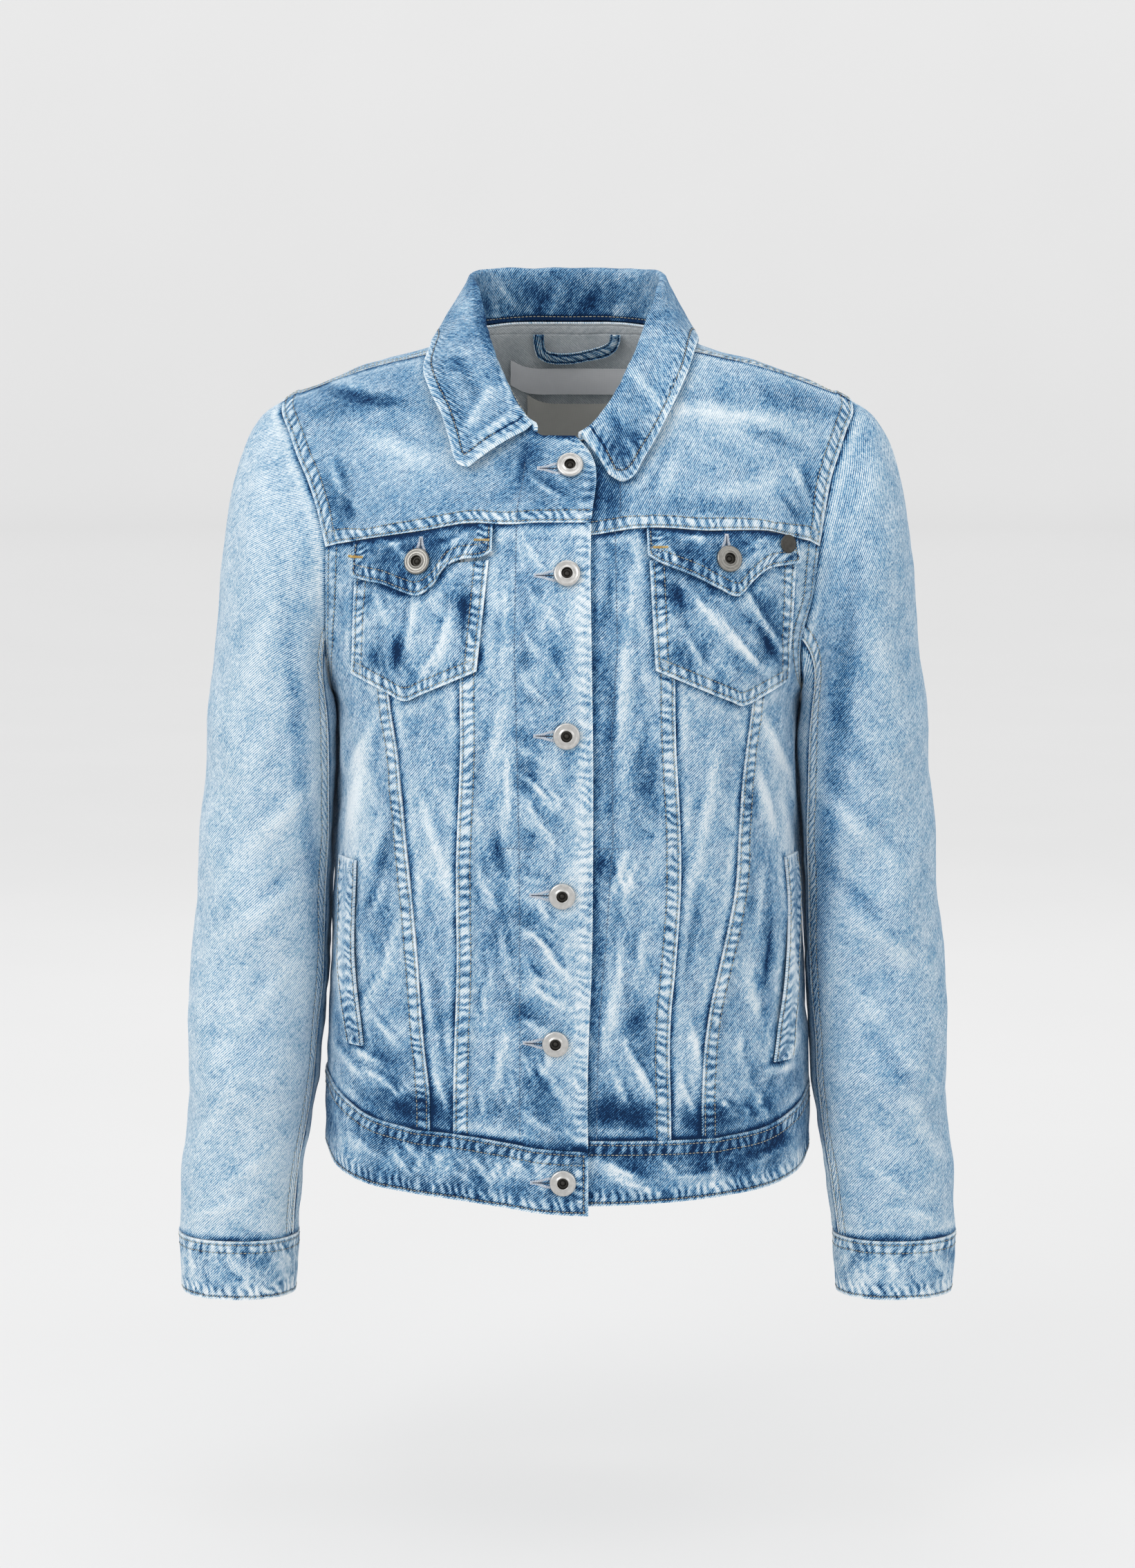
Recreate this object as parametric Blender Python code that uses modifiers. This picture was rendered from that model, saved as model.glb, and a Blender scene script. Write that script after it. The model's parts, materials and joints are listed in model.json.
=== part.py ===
"""A denim jacket, filled out as it is worn and open at the neck, hem and cuffs.

The model is in metres with +Z up. Its origin lies in the middle of the neck opening, level with
the shoulders beside the collar. +X is the wearer's left and the front faces -Y. Sizes in this file are
millimetres until the last step. Every cloth piece is a grid laid on the jacket's form, given its
wall by extruding the whole grid, and its edges stop half a seam gap short of each seam.
"""

import math
from collections import namedtuple

import bmesh
import bpy
import numpy as np
from mathutils import Vector

MM = 0.001

# Cloth and seams.
CLOTH = 1.6
DOUBLE_CLOTH = 2.4
FELL_RISE = 1.0
FELL_WIDTH = 10.5
FELL_STEP = 1.0
SEAM_GAP = 0.3
LAY_GAP = 0.9

# The front closing: the wearer's right front lies on the left one.
LAP_LIFT = 3.2
LAP_INNER = 0.8
LAP_FROM = -36.0
LAP_FULL = -19.0
STAND_EDGE = -17.0
FACING_RIGHT = -32.0
FACING_LEFT = 30.0

# Folding the yokes over the shoulders.
SHOULDER_AXIS = -100.0
SHOULDER_RADIUS = 105.0

# Rows and columns of the panels.
BODY_ROWS = 14
ARMHOLE_ROWS = 5
YOKE_ROWS = 6
YOKE_LAST_ROW = 0.2
BACK_YOKE_ROWS = 8
SHOULDER_SHARES = (0.0, 0.14, 0.34, 0.62, 1.0)
SHOULDER_COLUMNS = len(SHOULDER_SHARES) + 1
BACK_NECK_SHARES = (6.0, 6.7, 7.6, 8.6, 9.8, 11.2, 13.0)
BACK_SPREAD = 3.0
YOKE_BAND = 9.0
YOKE_SHARE = 5.0
UNDERARM_SHARE = 11.0
FELL_TURN = 4.3
FELL_STEP_TURN = 0.5

# Buttons.
BUTTON_RADIUS = 8.6
BUTTON_STEPS = 13
STUD_HALF = (5.8, 4.4)

# Level sections of the torso: height, half width, front depth, back depth and squareness.
Level = namedtuple("Level", "z width front back square")
TORSO = (
    Level(30, 40, 16, 48, 2.3),
    Level(16, 64.5, 28, 59.5, 2.3),
    Level(6, 77.5, 36, 66, 2.15),
    Level(0, 91.5, 42, 70, 2.0),
    Level(-8, 121, 47, 74, 2.0),
    Level(-20, 157, 54, 79, 2.0),
    Level(-30, 179, 60, 84, 2.0),
    Level(-36, 188, 63, 87, 2.0),
    Level(-52, 194, 71, 93, 2.0),
    Level(-80, 199, 87, 101, 2.0),
    Level(-107, 196, 103, 107, 2.0),
    Level(-128, 190, 112, 110, 2.0),
    Level(-153, 181, 121, 114, 2.05),
    Level(-180, 172, 127, 117, 2.1),
    Level(-197, 165.5, 129, 118, 2.15),
    Level(-215, 159.5, 130, 118, 2.2),
    Level(-228, 154, 130, 117, 2.2),
    Level(-250, 152, 130, 115, 2.3),
    Level(-320, 154.5, 127, 109, 2.3),
    Level(-400, 157.5, 121, 105, 2.3),
    Level(-450, 158.5, 118, 107, 2.3),
    Level(-500, 160.5, 116, 110, 2.3),
    Level(-560, 161.5, 115, 113, 2.3),
)

# The neck seam in plan, from the centre front (0) round to the centre back (13).
Neck = namedtuple("Neck", "share x right left")
NECK = (
    Neck(0, 0, -73.2, -74.5),
    Neck(1, 10, -73.0, -74.0),
    Neck(2, 19, -72.0, -71.5),
    Neck(3, 30, -63.5, -64),
    Neck(4, 42, -52, -53),
    Neck(5, 50.5, -40, -41),
    Neck(6, 56.5, -27.5, -27.5),
    Neck(7, 61.5, -10, -10),
    Neck(8, 64, 10, 10),
    Neck(9, 61.5, 28, 28),
    Neck(10, 52.5, 42, 42),
    Neck(11, 38, 51.5, 51.5),
    Neck(12, 20, 57.5, 57.5),
    Neck(13, 0, 59.5, 59.5),
)
NECK_SEAM = 6.0
NECK_END = 13.0
NECK_EDGE = {"right": -0.5, "left": -1.75}

# The armhole from the shoulder seam (0) to the underarm (11), by height and depth.
Armhole = namedtuple("Armhole", "share z right left back")
ARMHOLE = (
    Armhole(0, -36, -8, -8, 11),
    Armhole(1, -45, -19, -19, 24),
    Armhole(2, -61, -31, -31, 39),
    Armhole(3, -80, -45, -44, 50),
    Armhole(4, -104, -58, -54, 57),
    Armhole(5, -127, -64, -58, 60),
    Armhole(6, -153, -63, -59, 60),
    Armhole(7, -178, -57, -62, 56),
    Armhole(8, -198, -46, -60, 46),
    Armhole(9, -214, -30, -44, 30),
    Armhole(10, -224, -14, -22, 14),
    Armhole(11, -228, 0, 0, 0),
)

# Front seams by height: the right front's edge, then each side's inner and outer V seam.
FrontSeam = namedtuple("FrontSeam", "z edge right_inner right_outer left_inner left_outer")
FRONT_SEAMS = (
    FrontSeam(-50, 5.0, -64, -138, 64, 140),
    FrontSeam(-64, 12.8, -64, -136, 64, 138),
    FrontSeam(-75, 18.0, -65, -134, 65, 136),
    FrontSeam(-88, 18.0, -66, -131, 66, 133),
    FrontSeam(-105, 15.5, -67, -128, 67, 130),
    FrontSeam(-125, 14.8, -68, -125, 68, 127),
    FrontSeam(-187, 15.3, -68.5, -118, 68.5, 121),
    FrontSeam(-225, 15.8, -68.5, -114, 68.5, 118.5),
    FrontSeam(-250, 16.2, -68.1, -110, 69, 115.5),
    FrontSeam(-305, 16.3, -70.4, -104.3, 72, 110.3),
    FrontSeam(-336, 16.2, -71.2, -101.3, 72.5, 109),
    FrontSeam(-395, 15.5, -71.0, -96.2, 69.2, 98.5),
    FrontSeam(-437, 13.8, -72.5, -93.8, 65.8, 89.7),
    FrontSeam(-475, 13.0, -73.6, -89.4, 66.4, 87),
    FrontSeam(-516, 13.4, -73.8, -88.8, 67, 87),
    FrontSeam(-560, 13.0, -73.8, -88.8, 67, 87),
)

# The seam under each front yoke, by distance from the centre.
YokeSeam = namedtuple("YokeSeam", "x right left")
YOKE_SEAM = (
    YokeSeam(-20, -110, -117),
    YokeSeam(15, -110, -116.5),
    YokeSeam(48, -110, -112.5),
    YokeSeam(58, -109.5, -112.5),
    YokeSeam(93, -115, -115),
    YokeSeam(128, -120.5, -115.5),
    YokeSeam(158, -127, -124),
)

# The waist seam and the hem by angle from the centre front, for each side.
Waist = namedtuple("Waist", "angle right_waist right_hem left_waist left_hem")
WAIST = (
    Waist(-20, -514.5, -557, -506.5, -550),
    Waist(0, -512.5, -555, -506.5, -550),
    Waist(22, -504, -547.5, -507.5, -548.5),
    Waist(45, -501, -544, -507, -546),
    Waist(62, -491, -541, -500, -543),
    Waist(78, -481, -532, -491, -535),
    Waist(90, -478, -527, -487, -531),
    Waist(120, -479, -525, -483, -529),
    Waist(150, -485, -530, -486, -530),
    Waist(180, -488, -533, -488, -533),
)

# The back V seams by height.
BackSeam = namedtuple("BackSeam", "z x")
BACK_SEAMS = (
    BackSeam(-120, 98),
    BackSeam(-250, 88),
    BackSeam(-380, 76),
    BackSeam(-500, 66),
)
BACK_YOKE_SEAM = -130.0

# A sleeve from armhole to cuff: outer and inner edge, centre depth and half depths.
Ring = namedtuple("Ring", "share outer outer_z inner inner_left inner_z centre front back")
SLEEVE = (
    Ring(0.00, 186.5, -35, 154, 154, -228, 1, 62, 60),
    Ring(0.09, 205, -49, 152, 152, -231.5, 1, 64, 62),
    Ring(0.18, 219, -84, 149, 149, -237, 1, 66, 64),
    Ring(0.27, 226, -124, 147, 147, -246, 1, 66, 65),
    Ring(0.36, 230.5, -172, 147, 147, -261, 1, 65, 65),
    Ring(0.46, 236, -228, 149, 149, -290, 1, 63, 63),
    Ring(0.56, 241.5, -290, 152, 151, -333, 1, 60, 60),
    Ring(0.66, 247, -358, 156.5, 155, -386, -1, 56, 56),
    Ring(0.76, 251.5, -425, 161, 159.5, -441, -4, 52, 52),
    Ring(0.85, 255, -490, 169, 165.5, -498, -8, 47, 46),
    Ring(0.93, 258, -546, 178, 173, -551, -12, 41, 41),
    Ring(1.00, 260, -587, 180.5, 178.5, -588, -14, 38, 38),
)
SLEEVE_RINGS = (0, 0.03, 0.07, 0.12, 0.18, 0.24, 0.30, 0.36, 0.42, 0.48, 0.54, 0.60,
                0.66, 0.72, 0.78, 0.83, 0.88, 0.92, 0.96, 1.0)
SLEEVE_SQUARE = 2.15
CAP_BLEND = 0.3
SLEEVE_CLEAR = 2.3
SLEEVE_SPLIT = 9
SEAM_TURNS_TOP = 3
CUFF_FRONT_SEAM = 160.0
CUFF_BACK_SEAM = 235.0
CUFF_HEIGHT = 40.0
CUFF_TAPER = 2.5
CUFF_LAP = 26.0

# Large soft folds: place along and around, reach and width, height and slant. A sleeve's places
# are shares of its length, the torso's are heights.
Fold = namedtuple("Fold", "along around reach width height slant")
SLEEVE_FOLDS = (
    Fold(0.50, 40, 60, 15, 2.6, 25),
    Fold(0.57, 80, 65, 15, -3.2, 28),
    Fold(0.64, 60, 65, 14, 3.4, 32),
    Fold(0.71, 95, 60, 14, -3.0, 30),
    Fold(0.78, 35, 60, 14, 3.2, 38),
    Fold(0.84, 110, 45, 12, 3.0, 12),
    Fold(0.885, 25, 45, 12, -3.2, 30),
    Fold(0.935, 75, 40, 10, 3.4, 5),
    Fold(0.60, 265, 60, 15, 3.0, -28),
    Fold(0.68, 295, 65, 15, -3.2, -30),
    Fold(0.78, 265, 55, 14, 3.4, -22),
    Fold(0.86, 305, 50, 13, -3.2, -25),
    Fold(0.93, 275, 40, 11, 3.2, -8),
)
TORSO_FOLDS = (
    Fold(-232, -62, 60, 16, 2.2, 62),
    Fold(-238, 60, 60, 16, 2.2, -62),
    Fold(-300, -70, 55, 18, -1.8, 35),
    Fold(-312, 68, 60, 18, -2.0, -38),
    Fold(-395, -62, 75, 16, 2.2, 80),
    Fold(-405, 60, 75, 16, 2.4, -78),
    Fold(-430, -40, 50, 15, -1.6, 85),
    Fold(-428, 38, 55, 15, -1.8, -82),
    Fold(-455, -84, 45, 16, 2.0, 70),
    Fold(-462, 84, 45, 16, 2.0, -70),
    Fold(-240, 128, 70, 20, 2.2, 55),
    Fold(-236, -128, 70, 20, 2.2, -55),
    Fold(-330, 165, 80, 22, -2.2, 12),
    Fold(-375, -168, 80, 22, 2.2, -10),
    Fold(-420, 150, 70, 20, 2.4, 20),
    Fold(-440, -145, 70, 20, -2.2, -25),
)
TORSO_ROUND = 2.36
FOLDS_FROM = -200.0
SLEEVE_LENGTH = 560.0
SLEEVE_ROUND = 0.79

# The collar on each side, from its front end to the centre back: the neck seam's share, then
# the roll line and the outer edge.
Collar = namedtuple("Collar", "share roll_x roll_y roll_z edge_x edge_y edge_z")
COLLAR_RIGHT = (
    Collar(2.0, -19, -73, -45.5, -64.5, -86.5, -72.5),
    Collar(2.5, -25, -70, -41.5, -71.5, -84.5, -70.5),
    Collar(3.2, -32.5, -63, -31, -76, -77, -57),
    Collar(3.85, -40, -53.5, -16, -81, -69.5, -41.5),
    Collar(4.65, -45.5, -44, -3, -88, -61, -28),
    Collar(5.5, -50.5, -31, 11, -93.5, -45, -12.5),
    Collar(6.5, -55.5, -15, 26, -89.5, -17, 3),
    Collar(7.7, -60.5, 5, 41, -89, 14, 5.5),
    Collar(9.1, -62.5, 32, 49.5, -85, 48, -2),
    Collar(10.7, -45, 57, 51.5, -58, 78, -11),
    Collar(13, 0, 65, 52, 0, 88, -15),
)
COLLAR_LEFT = (
    Collar(0.7, 6.5, -75.5, -51.5, 27, -91, -77.5),
    Collar(1.05, 10, -74, -49.5, 35, -92.5, -82),
    Collar(1.7, 15.5, -71, -45.5, 42, -90.5, -80),
    Collar(2.75, 24, -63.5, -35.5, 49, -83.5, -69),
    Collar(3.55, 33, -54, -20.5, 57.5, -75.5, -55),
    Collar(4.3, 41.5, -43, -5.5, 67, -65, -37),
    Collar(5.2, 48.5, -29, 9.5, 77, -50, -16.5),
    Collar(6.2, 54.5, -14, 22.5, 84.5, -22, 3.5),
    Collar(7.7, 60.5, 5, 40, 86.5, 14, 6),
    Collar(9.1, 62.5, 32, 49.5, 84, 48, -2),
    Collar(10.7, 45, 57, 51.5, 58, 78, -11),
    Collar(13, 0, 65, 52, 0, 88, -15),
)
COLLAR_WALL = 2.0
COLLAR_LIFT = 0.8
FALL_FROM = 6
ROLL_RADIUS = 3.4
COLLAR_BETWEEN = 4

# Chest pockets: the patch's corners and point, in front view.
Pocket = namedtuple("Pocket", "outer_top inner_top outer_low inner_low point")
POCKETS = {
    "right": Pocket((-135.5, -141), (-49.8, -133), (-138, -207.5), (-57.4, -202), (-103.4, -222.5)),
    "left": Pocket((146, -136), (51.8, -133), (141.4, -212), (55.6, -201.5), (111.2, -226.3)),
}
# The flaps' lower edges: across, and the depth below the yoke seam.
Flap = namedtuple("Flap", "x z")
FLAPS = {
    "right": (
        Flap(-136.3, -145),
        Flap(-126, -147.5),
        Flap(-116.7, -149),
        Flap(-103.6, -153.6),
        Flap(-93.8, -155.5),
        Flap(-84, -148.3),
        Flap(-77.8, -138.7),
        Flap(-68.1, -133.3),
        Flap(-54.5, -131.4),
        Flap(-47.5, -128),
    ),
    "left": (
        Flap(50.3, -130.1),
        Flap(59.3, -135.4),
        Flap(80.5, -143.9),
        Flap(95.6, -151.6),
        Flap(107.2, -156.4),
        Flap(115.3, -148.4),
        Flap(126.2, -140.1),
        Flap(137.2, -137.9),
        Flap(147.4, -136.7),
    ),
}
FLAP_RISE = 3.3
FLAP_TUCK = 14.0

# Hand pocket welts: height, then the front and rear edge in front view.
Welt = namedtuple("Welt", "z front rear")
WELTS = {
    "right": (
        Welt(-330, -135.3, -148.2),
        Welt(-366, -136.4, -148.6),
        Welt(-401, -136.7, -148.0),
        Welt(-452, -132.4, -142.0),
    ),
    "left": (
        Welt(-329, 141.0, 151.0),
        Welt(-361, 142.8, 152.0),
        Welt(-402, 139.8, 150.5),
        Welt(-463, 134.0, 145.4),
    ),
}

# Button centres in front view.
Button = namedtuple("Button", "name x z rise")
FRONT_BUTTONS = (
    Button("button_front_1", 1.5, -75.2, LAP_LIFT),
    Button("button_front_2", -0.4, -141.4, LAP_LIFT),
    Button("button_front_3", -0.7, -242.2, LAP_LIFT),
    Button("button_front_4", -3.5, -344.9, LAP_LIFT),
    Button("button_front_5", -7.8, -441.9, LAP_LIFT),
    Button("button_front_6", -3.1, -533.3, LAP_LIFT + FELL_RISE),
    Button("button_flap_right", -93.9, -135.1, FLAP_RISE + CLOTH),
    Button("button_flap_left", 101.0, -133.6, FLAP_RISE + CLOTH),
)
STUD = Button("flap_stud", 139.0, -124.5, FLAP_RISE + CLOTH)

# Colours: red, green, blue, roughness, metallic.
Finish = namedtuple("Finish", "red green blue rough metal")
DENIM = Finish(0.30, 0.46, 0.64, 0.9, 0.0)
DENIM_PALE = Finish(0.40, 0.55, 0.70, 0.9, 0.0)
DENIM_DEEP = Finish(0.20, 0.35, 0.55, 0.9, 0.0)
LABEL_WHITE = Finish(0.80, 0.80, 0.82, 0.8, 0.0)
LABEL_CREAM = Finish(0.78, 0.76, 0.70, 0.8, 0.0)
NICKEL = Finish(0.72, 0.71, 0.68, 0.35, 1.0)
DARK_METAL = Finish(0.30, 0.28, 0.26, 0.4, 1.0)

SIDES = {"right": -1.0, "left": 1.0}

# The labels and the hanger loop inside the back neck, in back-view places.
LABEL_CLOTH = 0.6
LABEL_GAP = 2.6
LOOP_CLOTH = 1.2
LOOP_GAP = 2.4
LOOP_HALF = 3.8
Label = namedtuple("Label", "name x_from x_to top low finish")
LABELS = (
    Label("neck_label", -39.0, 50.0, -14.0, -31.0, LABEL_WHITE),
    Label("size_label", -27.5, 30.0, -38.0, -66.0, LABEL_CREAM),
)
Loop = namedtuple("Loop", "x z bow")
LOOP = (
    Loop(-20, 9.5, 0.0),
    Loop(-20, 4, 0.2),
    Loop(-18.4, -1.5, 1.4),
    Loop(-13, -4.6, 2.6),
    Loop(0, -5, 4.0),
    Loop(14, -2.4, 4.2),
    Loop(26, 0.4, 3.0),
    Loop(31, 2.8, 1.6),
    Loop(33.2, 6.4, 0.4),
    Loop(33.4, 9.5, 0.0),
)


# ---------------------------------------------------------------------------------------------
# Reading tables
# ---------------------------------------------------------------------------------------------


def smooth(table, column, at):
    """Reads a column of a table at a place, on a smooth curve through its rows."""
    rows = sorted(table, key=lambda row: row[0])
    places = np.array([row[0] for row in rows], float)
    values = np.array([getattr(row, column) for row in rows], float)
    step = np.diff(places)
    rise = np.diff(values) / step
    inner = (rise[:-1] * step[1:] + rise[1:] * step[:-1]) / (step[:-1] + step[1:])
    slope = np.concatenate(([rise[0]], inner, [rise[-1]]))
    at = np.clip(np.asarray(at, float), places[0], places[-1])
    k = np.clip(np.searchsorted(places, at, side="right") - 1, 0, len(step) - 1)
    h = step[k]
    t = (at - places[k]) / h
    start = (1 + 2 * t) * (1 - t) ** 2 * values[k] + t * (1 - t) ** 2 * h * slope[k]
    end = t * t * (3 - 2 * t) * values[k + 1] + t * t * (t - 1) * h * slope[k + 1]
    return start + end


def ease(value):
    """Rises smoothly from 0 to 1 as value does, and stays level outside."""
    value = np.clip(value, 0.0, 1.0)
    return value * value * (3 - 2 * value)


def unit(vectors):
    """Scales vectors to length 1."""
    length = np.linalg.norm(vectors, axis=-1, keepdims=True)
    return vectors / np.maximum(length, 1e-9)


def stack(*parts):
    """Joins coordinates into points."""
    return np.stack(np.broadcast_arrays(*[np.asarray(p, float) for p in parts]), axis=-1)


# ---------------------------------------------------------------------------------------------
# The torso's form
# ---------------------------------------------------------------------------------------------


def form(x, y, z):
    """Is 1 on the torso's outer face, less inside it and more outside."""
    square = smooth(TORSO, "square", z)
    depth = np.where(np.asarray(y) < 0, smooth(TORSO, "front", z), smooth(TORSO, "back", z))
    across = np.abs(x) / smooth(TORSO, "width", z)
    return across**square + (np.abs(y) / depth) ** square


def outward(points):
    """Gives the torso's outward directions at points."""
    x, y, z = np.moveaxis(points, -1, 0)
    d = 0.5
    slope = stack(
        form(x + d, y, z) - form(x - d, y, z),
        form(x, y + d, z) - form(x, y - d, z),
        form(x, y, z + d) - form(x, y, z - d),
    )
    return unit(slope)


def keep_off(points, clearance):
    """Moves points out of the torso, to at least a clearance from its outer face."""
    d = 0.5
    for _ in range(3):
        x, y, z = np.moveaxis(points, -1, 0)
        slope = stack(
            form(x + d, y, z) - form(x - d, y, z),
            form(x, y + d, z) - form(x, y - d, z),
            form(x, y, z + d) - form(x, y, z - d),
        )
        steep = np.maximum(np.linalg.norm(slope, axis=-1), 1e-4)
        away = (form(x, y, z) - 1) / steep * 2 * d
        push = np.clip(clearance - away, 0, 6)[..., None]
        points = points + push * slope / steep[..., None]
    return points


def at_angle(angle, z):
    """Finds torso points by the angle from the centre front (degrees) and the height."""
    turn = np.radians(angle)
    power = 2 / smooth(TORSO, "square", z)
    across = np.sign(np.sin(turn)) * np.abs(np.sin(turn)) ** power
    along = np.sign(np.cos(turn)) * np.abs(np.cos(turn)) ** power
    depth = np.where(along > 0, smooth(TORSO, "front", z), smooth(TORSO, "back", z))
    return stack(smooth(TORSO, "width", z) * across, -depth * along, z)


def angle_of(x, z):
    """Gives the angle of a place on the torso's front from its front view."""
    share = np.clip(np.abs(x) / smooth(TORSO, "width", z), 0, 1)
    return np.sign(x) * np.degrees(np.arcsin(share ** (smooth(TORSO, "square", z) / 2)))


def on_front(x, z):
    """Puts front-view places on the torso's front."""
    return at_angle(angle_of(x, z), z)


def at_side(side, y, z):
    """Puts side-view places on the torso."""
    square = smooth(TORSO, "square", z)
    depth = np.where(np.asarray(y) < 0, smooth(TORSO, "front", z), smooth(TORSO, "back", z))
    reach = (1 - np.clip(np.abs(y) / depth, 0, 1) ** square) ** (1 / square)
    return stack(side * smooth(TORSO, "width", z) * reach, y, z)


def angle_at(point):
    """Gives the angle from the centre front of torso points."""
    x, y, z = np.moveaxis(point, -1, 0)
    half = smooth(TORSO, "square", z) / 2
    depth = np.where(y < 0, smooth(TORSO, "front", z), smooth(TORSO, "back", z))
    across = (np.abs(x) / smooth(TORSO, "width", z)) ** half
    along = np.sign(-y) * (np.abs(y) / depth) ** half
    return np.sign(x) * np.degrees(np.arctan2(across, along))


def halve(test, low, high):
    """Finds where a rising test reaches 1, by halving."""
    for _ in range(44):
        middle = (low + high) / 2
        outside = test(middle) > 1
        high = np.where(outside, middle, high)
        low = np.where(outside, low, middle)
    return (low + high) / 2


def on_top(x, y):
    """Puts plan-view places on the shoulders."""
    x, y = np.broadcast_arrays(np.asarray(x, float), np.asarray(y, float))
    z = halve(lambda level: form(x, y, level), np.full(x.shape, -85.0), np.full(x.shape, 29.0))
    return stack(x, y, z)


def over_shoulder(x, arc):
    """Puts places on the torso by x and the arc about the shoulder axis."""
    x, arc = np.broadcast_arrays(np.asarray(x, float), np.asarray(arc, float))
    turn = arc / SHOULDER_RADIUS

    def test(radius):
        return form(x, radius * np.sin(turn), SHOULDER_AXIS + radius * np.cos(turn))

    radius = halve(test, np.zeros(x.shape), np.full(x.shape, 260.0))
    return stack(x, radius * np.sin(turn), SHOULDER_AXIS + radius * np.cos(turn))


def arc_of(points):
    """Gives x and the arc about the shoulder axis of points."""
    x, y, z = np.moveaxis(points, -1, 0)
    return stack(x, SHOULDER_RADIUS * np.arctan2(y, z - SHOULDER_AXIS))


def neckline(side, share):
    """Gives points of a side's neck seam by their share of the way from the centre front. A
    share below 0 or past the centre back lies on the other side."""
    share = np.asarray(share, float)
    way = np.where(share > NECK_END, 2 * NECK_END - share, np.abs(share))
    turn = np.where((share > NECK_END) | (share < 0), -SIDES[side], SIDES[side])
    return on_top(turn * smooth(NECK, "x", way), smooth(NECK, side, way))


def armhole(side, column, share):
    """Gives points of the armhole seam by their share of the way down."""
    depth = smooth(ARMHOLE, column, share)
    return at_side(SIDES[side], depth, smooth(ARMHOLE, "z", share))


def shoulder_seam(side):
    """Gives the shoulder seam from the neck to the armhole, with the armhole fell's columns."""
    start = neckline(side, NECK_SEAM)
    end = armhole(side, side, 0.0)
    length = np.linalg.norm(end - start)
    fell = 1 - FELL_WIDTH / length
    step = fell - FELL_STEP / length
    share = np.append(np.array(SHOULDER_SHARES) * step, (fell, 1.0))
    plan = start + share[:, None] * (end - start)
    return on_top(plan[:, 0], plan[:, 1])


def fold_height(table, along, around, length, degree):
    """Adds up a table's soft folds. Length and degree turn its places into millimetres."""
    height = np.zeros(np.broadcast(along, around).shape)
    for fold in table:
        far = (along - fold.along) * length
        off = ((around - fold.around + 180) % 360 - 180) * degree
        slant = math.radians(fold.slant)
        run = far * math.sin(slant) + off * math.cos(slant)
        side = far * math.cos(slant) - off * math.sin(slant)
        height += fold.height * np.exp(-((side / fold.width) ** 2) - (run / fold.reach) ** 2)
    return height


def relief(points):
    """Gives the height of the torso's soft folds, which die away toward the underarms."""
    angle = angle_at(points)
    height = fold_height(TORSO_FOLDS, points[..., 2], angle, 1.0, TORSO_ROUND)
    off = (np.abs(angle) - 90) * TORSO_ROUND
    away = np.hypot(off, points[..., 2] - ARMHOLE[-1].z)
    below = FOLDS_FROM - points[..., 2]
    return height * ease((away - 8) / 40) * ease(below / 30)


# ---------------------------------------------------------------------------------------------
# Walls
# ---------------------------------------------------------------------------------------------


def material(name, finish):
    """Makes a piece's own plain material."""
    made = bpy.data.materials.new(name)
    made.use_nodes = True
    shader = made.node_tree.nodes["Principled BSDF"]
    shader.inputs["Base Color"].default_value = (finish.red, finish.green, finish.blue, 1)
    shader.inputs["Roughness"].default_value = finish.rough
    shader.inputs["Metallic"].default_value = finish.metal
    made.diffuse_color = (finish.red, finish.green, finish.blue, 1)
    return made


def add_object(name, mesh, finish):
    """Adds a mesh to the jacket as a named object."""
    thing = bpy.data.objects.new(name, mesh)
    mesh.materials.append(material(name, finish))
    bpy.data.collections["denim_jacket"].objects.link(thing)
    thing.parent = bpy.data.objects["jacket_origin"]
    return thing


def wall(name, outer, inner, finish):
    """Makes a closed wall between two point grids: a grid, extruded as one region."""
    rows, columns = outer.shape[:2]
    shape = bmesh.new()
    bmesh.ops.create_grid(shape, x_segments=columns - 1, y_segments=rows - 1, size=1.0)
    place = {}
    for vertex in shape.verts:
        column = round((vertex.co.x + 1) / 2 * (columns - 1))
        row = round((vertex.co.y + 1) / 2 * (rows - 1))
        place[vertex] = inner[row, column]
    raised = bmesh.ops.extrude_face_region(shape, geom=shape.faces[:], use_keep_orig=True)
    for item in raised["geom"]:
        if isinstance(item, bmesh.types.BMVert):
            column = round((item.co.x + 1) / 2 * (columns - 1))
            row = round((item.co.y + 1) / 2 * (rows - 1))
            place[item] = outer[row, column]
    for vertex, point in place.items():
        vertex.co = Vector(point) * MM
    bmesh.ops.recalc_face_normals(shape, faces=shape.faces[:])
    if shape.calc_volume(signed=True) < 0:
        bmesh.ops.reverse_faces(shape, faces=shape.faces[:])
    mesh = bpy.data.meshes.new(name)
    shape.to_mesh(mesh)
    shape.free()
    mesh.shade_smooth()
    mesh.set_sharp_from_angle(angle=math.radians(50))
    return add_object(name, mesh, finish)


def inset(points, edges="tblr", by=SEAM_GAP / 2):
    """Draws a grid's named edges back from their seams."""
    moved = points.copy()
    for edge in edges:
        border, beyond = {
            "t": (np.s_[0, :], np.s_[1, :]),
            "b": (np.s_[-1, :], np.s_[-2, :]),
            "l": (np.s_[:, 0], np.s_[:, 1]),
            "r": (np.s_[:, -1], np.s_[:, -2]),
        }[edge]
        run = unit(np.gradient(points[border], axis=0))
        away = points[beyond] - points[border]
        away = away - np.sum(away * run, axis=-1, keepdims=True) * run
        moved[border] += by * unit(away)
    return moved


def torso_wall(name, points, finish, rise=0.0, wall_depth=CLOTH, floor=None):
    """Makes a torso piece whose outer face is raised from the form by rise."""
    points = inset(points)
    direction = outward(points)
    points = points + relief(points)[..., None] * direction
    rise = np.broadcast_to(rise, points.shape[:2])
    floor = rise * 0 - wall_depth if floor is None else floor
    outer = points + rise[..., None] * direction
    inner = points + np.broadcast_to(floor, points.shape[:2])[..., None] * direction
    return wall(name, outer, inner, finish)


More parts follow.
